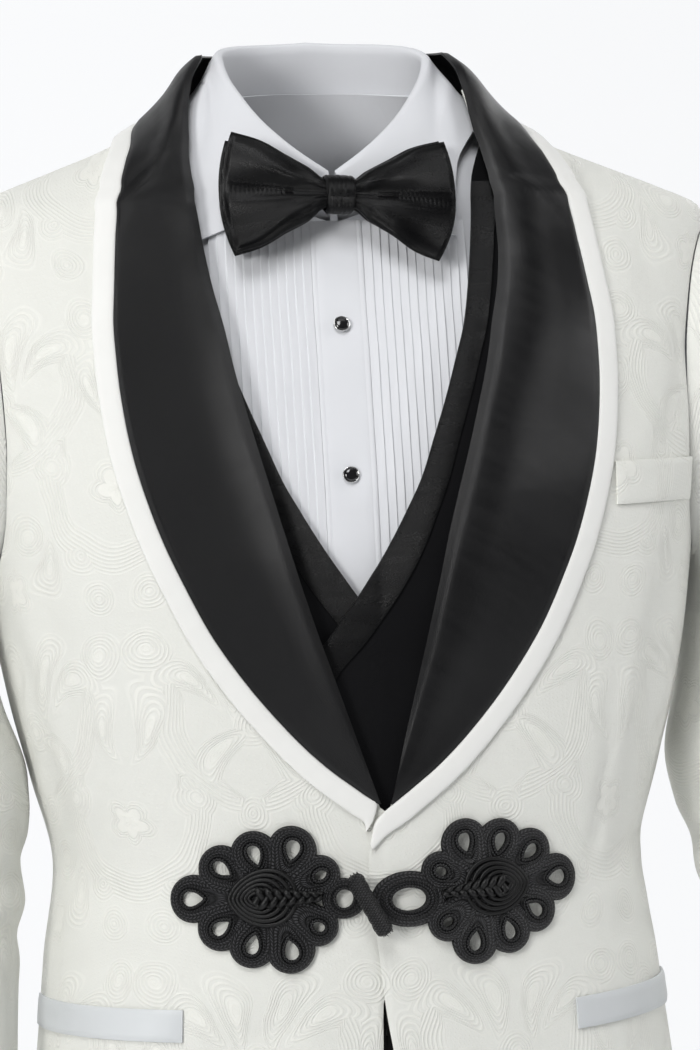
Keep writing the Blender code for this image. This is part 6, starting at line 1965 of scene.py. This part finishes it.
# ---------------------------------------------------------------- trousers
def trouser_leg(side_name, side):
    """One leg: a tube below the fork, and half of the seat above it, seamed at the centre."""
    curves = columns(TROUSER)
    count = 84
    heights = even_rows(TROUSER[-1][0], TROUSER[0][0], 0.0085)
    rows = []
    for height in heights:
        centre, half_width, middle, half_depth, square = (float(curve(height)) for curve in curves)
        a, b = half_width, half_depth
        start = math.asin((SEAM_GAP / 2 / b) ** (square / 2))
        reach = (centre - SEAM_GAP * 0.7) / a
        if reach < 1:
            start = math.acos(math.copysign(abs(reach) ** (square / 2), reach))
        turn = start + (2 * math.pi - 2 * start) * np.arange(count + 1) / count
        c, s = np.cos(turn), np.sin(turn)
        x = centre - a * np.sign(c) * np.abs(c) ** (2 / square)
        y = middle - b * np.sign(s) * np.abs(s) ** (2 / square)
        rows.append(np.stack((np.maximum(x, SEAM_GAP * 0.7), y, np.full(count + 1, height)), -1))
    grid = np.array(rows)
    z = grid[..., 2]
    part = np.linspace(0, 1, count + 1)[None]
    deep = 0.0
    for at, z0, z1, depth, width in (
        (0.20, -0.90, -0.97, 2.2, 0.05), (0.30, -0.95, -1.02, 1.8, 0.06), (0.78, -0.92, -0.96, 2.4, 0.06),
            (0.70, -0.99, -1.05, 1.8, 0.05),
        (0.24, -1.38, -1.42, 2.4, 0.07), (0.33, -1.42, -1.45, 2.0, 0.06), (0.80, -1.40, -1.43, 1.8, 0.06),
            (0.22, -0.66, -0.74, 1.8, 0.05),
        (0.72, -0.72, -0.78, 2.2, 0.06), (0.80, -0.78, -0.84, 1.8, 0.05),
    ):
        deep = deep - depth * MM * bump((part - at) / width) * bump((z
            - (z0 + z1) / 2) / max(abs(z1 - z0) * 0.42, 0.01))
    crease = 1.6 * MM * (bump((part - 0.25) / 0.010) + bump((part - 0.75) / 0.010)) * ease((-0.55 - z) / 0.10)
    slow = drift(part * 0.5 * side, z, 9.0 + side, 0.9) * ease((-0.55 - z) / 0.08)
    seam = -0.7 * MM * bump((part - 0.5) / 0.006) * ease((-0.50 - z) / 0.05)
    normal = grid_normals(grid, False)
    middle = grid.mean(axis=1, keepdims=True)
    if np.mean(np.sum(normal * (grid - middle), axis=2)) < 0:
        normal = -normal
    keep = ease((grid[..., 0] - 0.003) / 0.01)
    outer = grid + normal * ((deep + crease + slow + seam) * keep - 0.2 * MM)[..., None]
    hem = 0.8 * MM * bump((z - TROUSER[-1][0]) / (2 * MM))
    outer = outer - normal * hem[..., None]
    outer[..., 0] *= side
    run = np.concatenate(([0.0], np.cumsum(np.linalg.norm(np.diff(grid[30], axis=0), axis=1))))
    uv = np.stack(np.broadcast_arrays(run[None] * side, z), -1)
    flip = 1 if np.mean(np.sum(grid_normals(outer, False) * (outer - outer.mean(axis=1, keepdims=True)),
        axis=2)) > 0 else -1
    made = Parts()
    made.wall(outer, uv, 1.1 * MM, flip)
    thing = made.object("trouser_%s_cloth" % side_name)
    dress(thing, [TROUSER_BLACK], ["trouser_" + side_name])
    cloth(thing)


def waistband():
    _, half_width, middle, half_depth, square = TROUSER[0][1:]
    turn = 2 * math.pi * np.arange(120) / 120
    c, s = np.cos(turn), np.sin(turn)
    rows = np.linspace(WAISTBAND_BOTTOM + SEAM_GAP, WAISTBAND_TOP, 15)
    share = np.linspace(0, 1, 15)
    roll = 0.5 * MM * (bump(share / 0.05) + bump((1 - share) / 0.05)) + 0.15 * MM * np.sin(share * 9)
    grids = []
    for shrink in (0.0, 1.6 * MM):
        a = half_width - 0.1 * MM - roll[:, None] - shrink
        b = half_depth - 0.1 * MM - roll[:, None] - shrink
        x = a * (np.sign(c) * np.abs(c) ** (2 / square))[None]
        y = middle + b * (np.sign(s) * np.abs(s) ** (2 / square))[None]
        grids.append(np.stack((x, y, np.broadcast_to(rows[:, None], x.shape)), -1))
    uv = np.stack(np.broadcast_arrays(np.linspace(0, 0.86, 121)[None], rows[:, None]), -1)
    made = Parts()
    made.wall(grids[0], uv, closed=True, inner=grids[1])
    thing = made.object("waistband_cloth", 60)
    dress(thing, [TROUSER_BLACK], ["waistband"])
    cloth(thing)


# ---------------------------------------------------------------- camera, light and floor
CAMERA_PLACE = (-0.4087, -2.3636, -0.2405)
CAMERA_RIGHT = (0.98433, -0.17347, -0.03153)
CAMERA_UP = (0.03105, -0.00547, 0.99950)


def camera():
    made = bpy.data.cameras.new("camera")
    made.lens = 136.54
    made.sensor_width = 36.0
    made.sensor_fit = "AUTO"
    made.clip_start = 0.05
    made.clip_end = 40.0
    thing = bpy.data.objects.new("camera", made)
    right = Vector(CAMERA_RIGHT)
    up = Vector(CAMERA_UP)
    back = right.cross(up).normalized()
    up = back.cross(right).normalized()
    matrix = Matrix((right.normalized(), up, back)).transposed().to_4x4()
    matrix.translation = Vector(CAMERA_PLACE)
    thing.matrix_world = matrix
    bpy.context.scene.collection.objects.link(thing)
    bpy.context.scene.camera = thing


def lamp(name, place, target, size, power, colour):
    made = bpy.data.lights.new(name, "AREA")
    made.shape = "RECTANGLE"
    made.size = size
    made.size_y = size
    made.energy = power
    made.color = colour
    thing = bpy.data.objects.new(name, made)
    thing.location = place
    thing.rotation_euler = (Vector(target) - Vector(place)).to_track_quat("-Z", "Y").to_euler()
    bpy.context.scene.collection.objects.link(thing)


def stage_material(name, colour, glow, strength):
    material = bpy.data.materials.new(name)
    material.use_nodes = True
    shader = material.node_tree.nodes["Principled BSDF"]
    shader.inputs["Base Color"].default_value = (*colour, 1.0)
    shader.inputs["Roughness"].default_value = 0.9
    shader.inputs["Emission Color"].default_value = (*glow, 1.0)
    shader.inputs["Emission Strength"].default_value = strength
    return material


FLOOR = -1.497
FLOOR_FRONT = -3.2
SWEEP_START = 2.0
SWEEP_RADIUS = 1.2
SWEEP_STEPS = 12
BACKDROP_TOP = 3.4
BACKDROP_HALF_WIDTH = 5.0
WORLD_STRENGTH = 0.10
WHITE = (1.0, 1.0, 1.0)

# The studio's lamps: name, place, the point that it faces, size, power and colour.
LAMPS = (
    ("key", (-2.3, -2.4, 0.4), (0.0, 0.0, -0.22), 0.9, 56, (1.0, 0.995, 0.98)),
    ("fill", (-0.9, -2.4, 2.6), (0.0, 0.0, -0.30), 1.6, 72, (0.99, 0.995, 1.0)),
    ("side", (2.9, -0.5, 0.8), (0.0, 0.0, -0.30), 1.4, 34, WHITE),
    ("top", (0.2, -0.6, 2.4), (0.0, 0.0, -0.2), 1.8, 8, WHITE),
    ("rear_left", (-2.0, 1.9, 0.6), (0.0, 0.0, -0.3), 1.6, 16, WHITE),
    ("rear_right", (2.0, 1.9, 0.4), (0.0, 0.0, -0.3), 1.6, 16, WHITE),
)


def stage():
    """A pale floor below the hems that sweeps up into a pale backdrop."""
    profile = [(FLOOR_FRONT, FLOOR), (SWEEP_START, FLOOR)]
    for k in range(SWEEP_STEPS + 1):
        turn = math.pi / 2 * k / SWEEP_STEPS
        along = SWEEP_START + SWEEP_RADIUS * math.sin(turn)
        profile.append((along, FLOOR + SWEEP_RADIUS * (1 - math.cos(turn))))
    profile.append((SWEEP_START + SWEEP_RADIUS, BACKDROP_TOP))
    points = [(x, y, z) for y, z in profile for x in (-BACKDROP_HALF_WIDTH, BACKDROP_HALF_WIDTH)]
    faces = [(2 * k, 2 * k + 1, 2 * k + 3, 2 * k + 2) for k in range(len(profile) - 1)]
    mesh = bpy.data.meshes.new("backdrop")
    mesh.from_pydata(points, [], faces)
    mesh.shade_smooth()
    mesh.materials.append(stage_material("backdrop_pale", (0.22, 0.22, 0.22), (0.925, 0.935, 0.95), 0.82))
    thing = bpy.data.objects.new("backdrop", mesh)
    bpy.context.scene.collection.objects.link(thing)
    world = bpy.data.worlds.new("studio")
    world.use_nodes = True
    world.node_tree.nodes["Background"].inputs[0].default_value = (1.0, 1.0, 1.0, 1.0)
    world.node_tree.nodes["Background"].inputs[1].default_value = WORLD_STRENGTH
    bpy.context.scene.world = world
    for lamp_row in LAMPS:
        lamp(*lamp_row)
    bpy.context.scene.view_settings.view_transform = "Standard"


# ---------------------------------------------------------------- the whole set
BREAST_WELT = ((0.1470, -0.2335, -0.2085), (0.2030, -0.2310, -0.2060))
HIP_WELT = {
    1: ((0.1130, -0.5370, -0.5190), (0.1850, -0.5310, -0.5130)),
    -1: ((0.1160, -0.5330, -0.5145), (0.1870, -0.5305, -0.5125)),
}


def build():
    camera()
    stage()
    for side_name, side in SIDES:
        jacket_front(side_name, side)
        jacket_back(side_name, side)
        lapel(side_name, side)
        lapel_trim(side_name, side)
        jacket_sleeve(side_name, side)
        welt("hip_welt_%s_satin" % side_name, "hip_welt_" + side_name, SATIN_WELT, side,
            HIP_WELT[side], 1.0)
        waistcoat_front(side_name, side)
        waistcoat_band(side_name, side)
        shirt_front(side_name, side)
        shirt_bib(side_name, side)
        shirt_sleeve(side_name, side)
        frog(side_name, side)
        trouser_leg(side_name, side)
    welt("breast_welt_cloth", "breast_welt", IVORY, 1, BREAST_WELT, 0.0)
    waistcoat_back()
    shirt_back()
    shirt_placket()
    shirt_collar()
    for number, (height, rest) in enumerate(STUDS, 1):
        stud(number, height, rest)
    bow_tie()
    bow_band()
    toggle()
    waistband()


build()
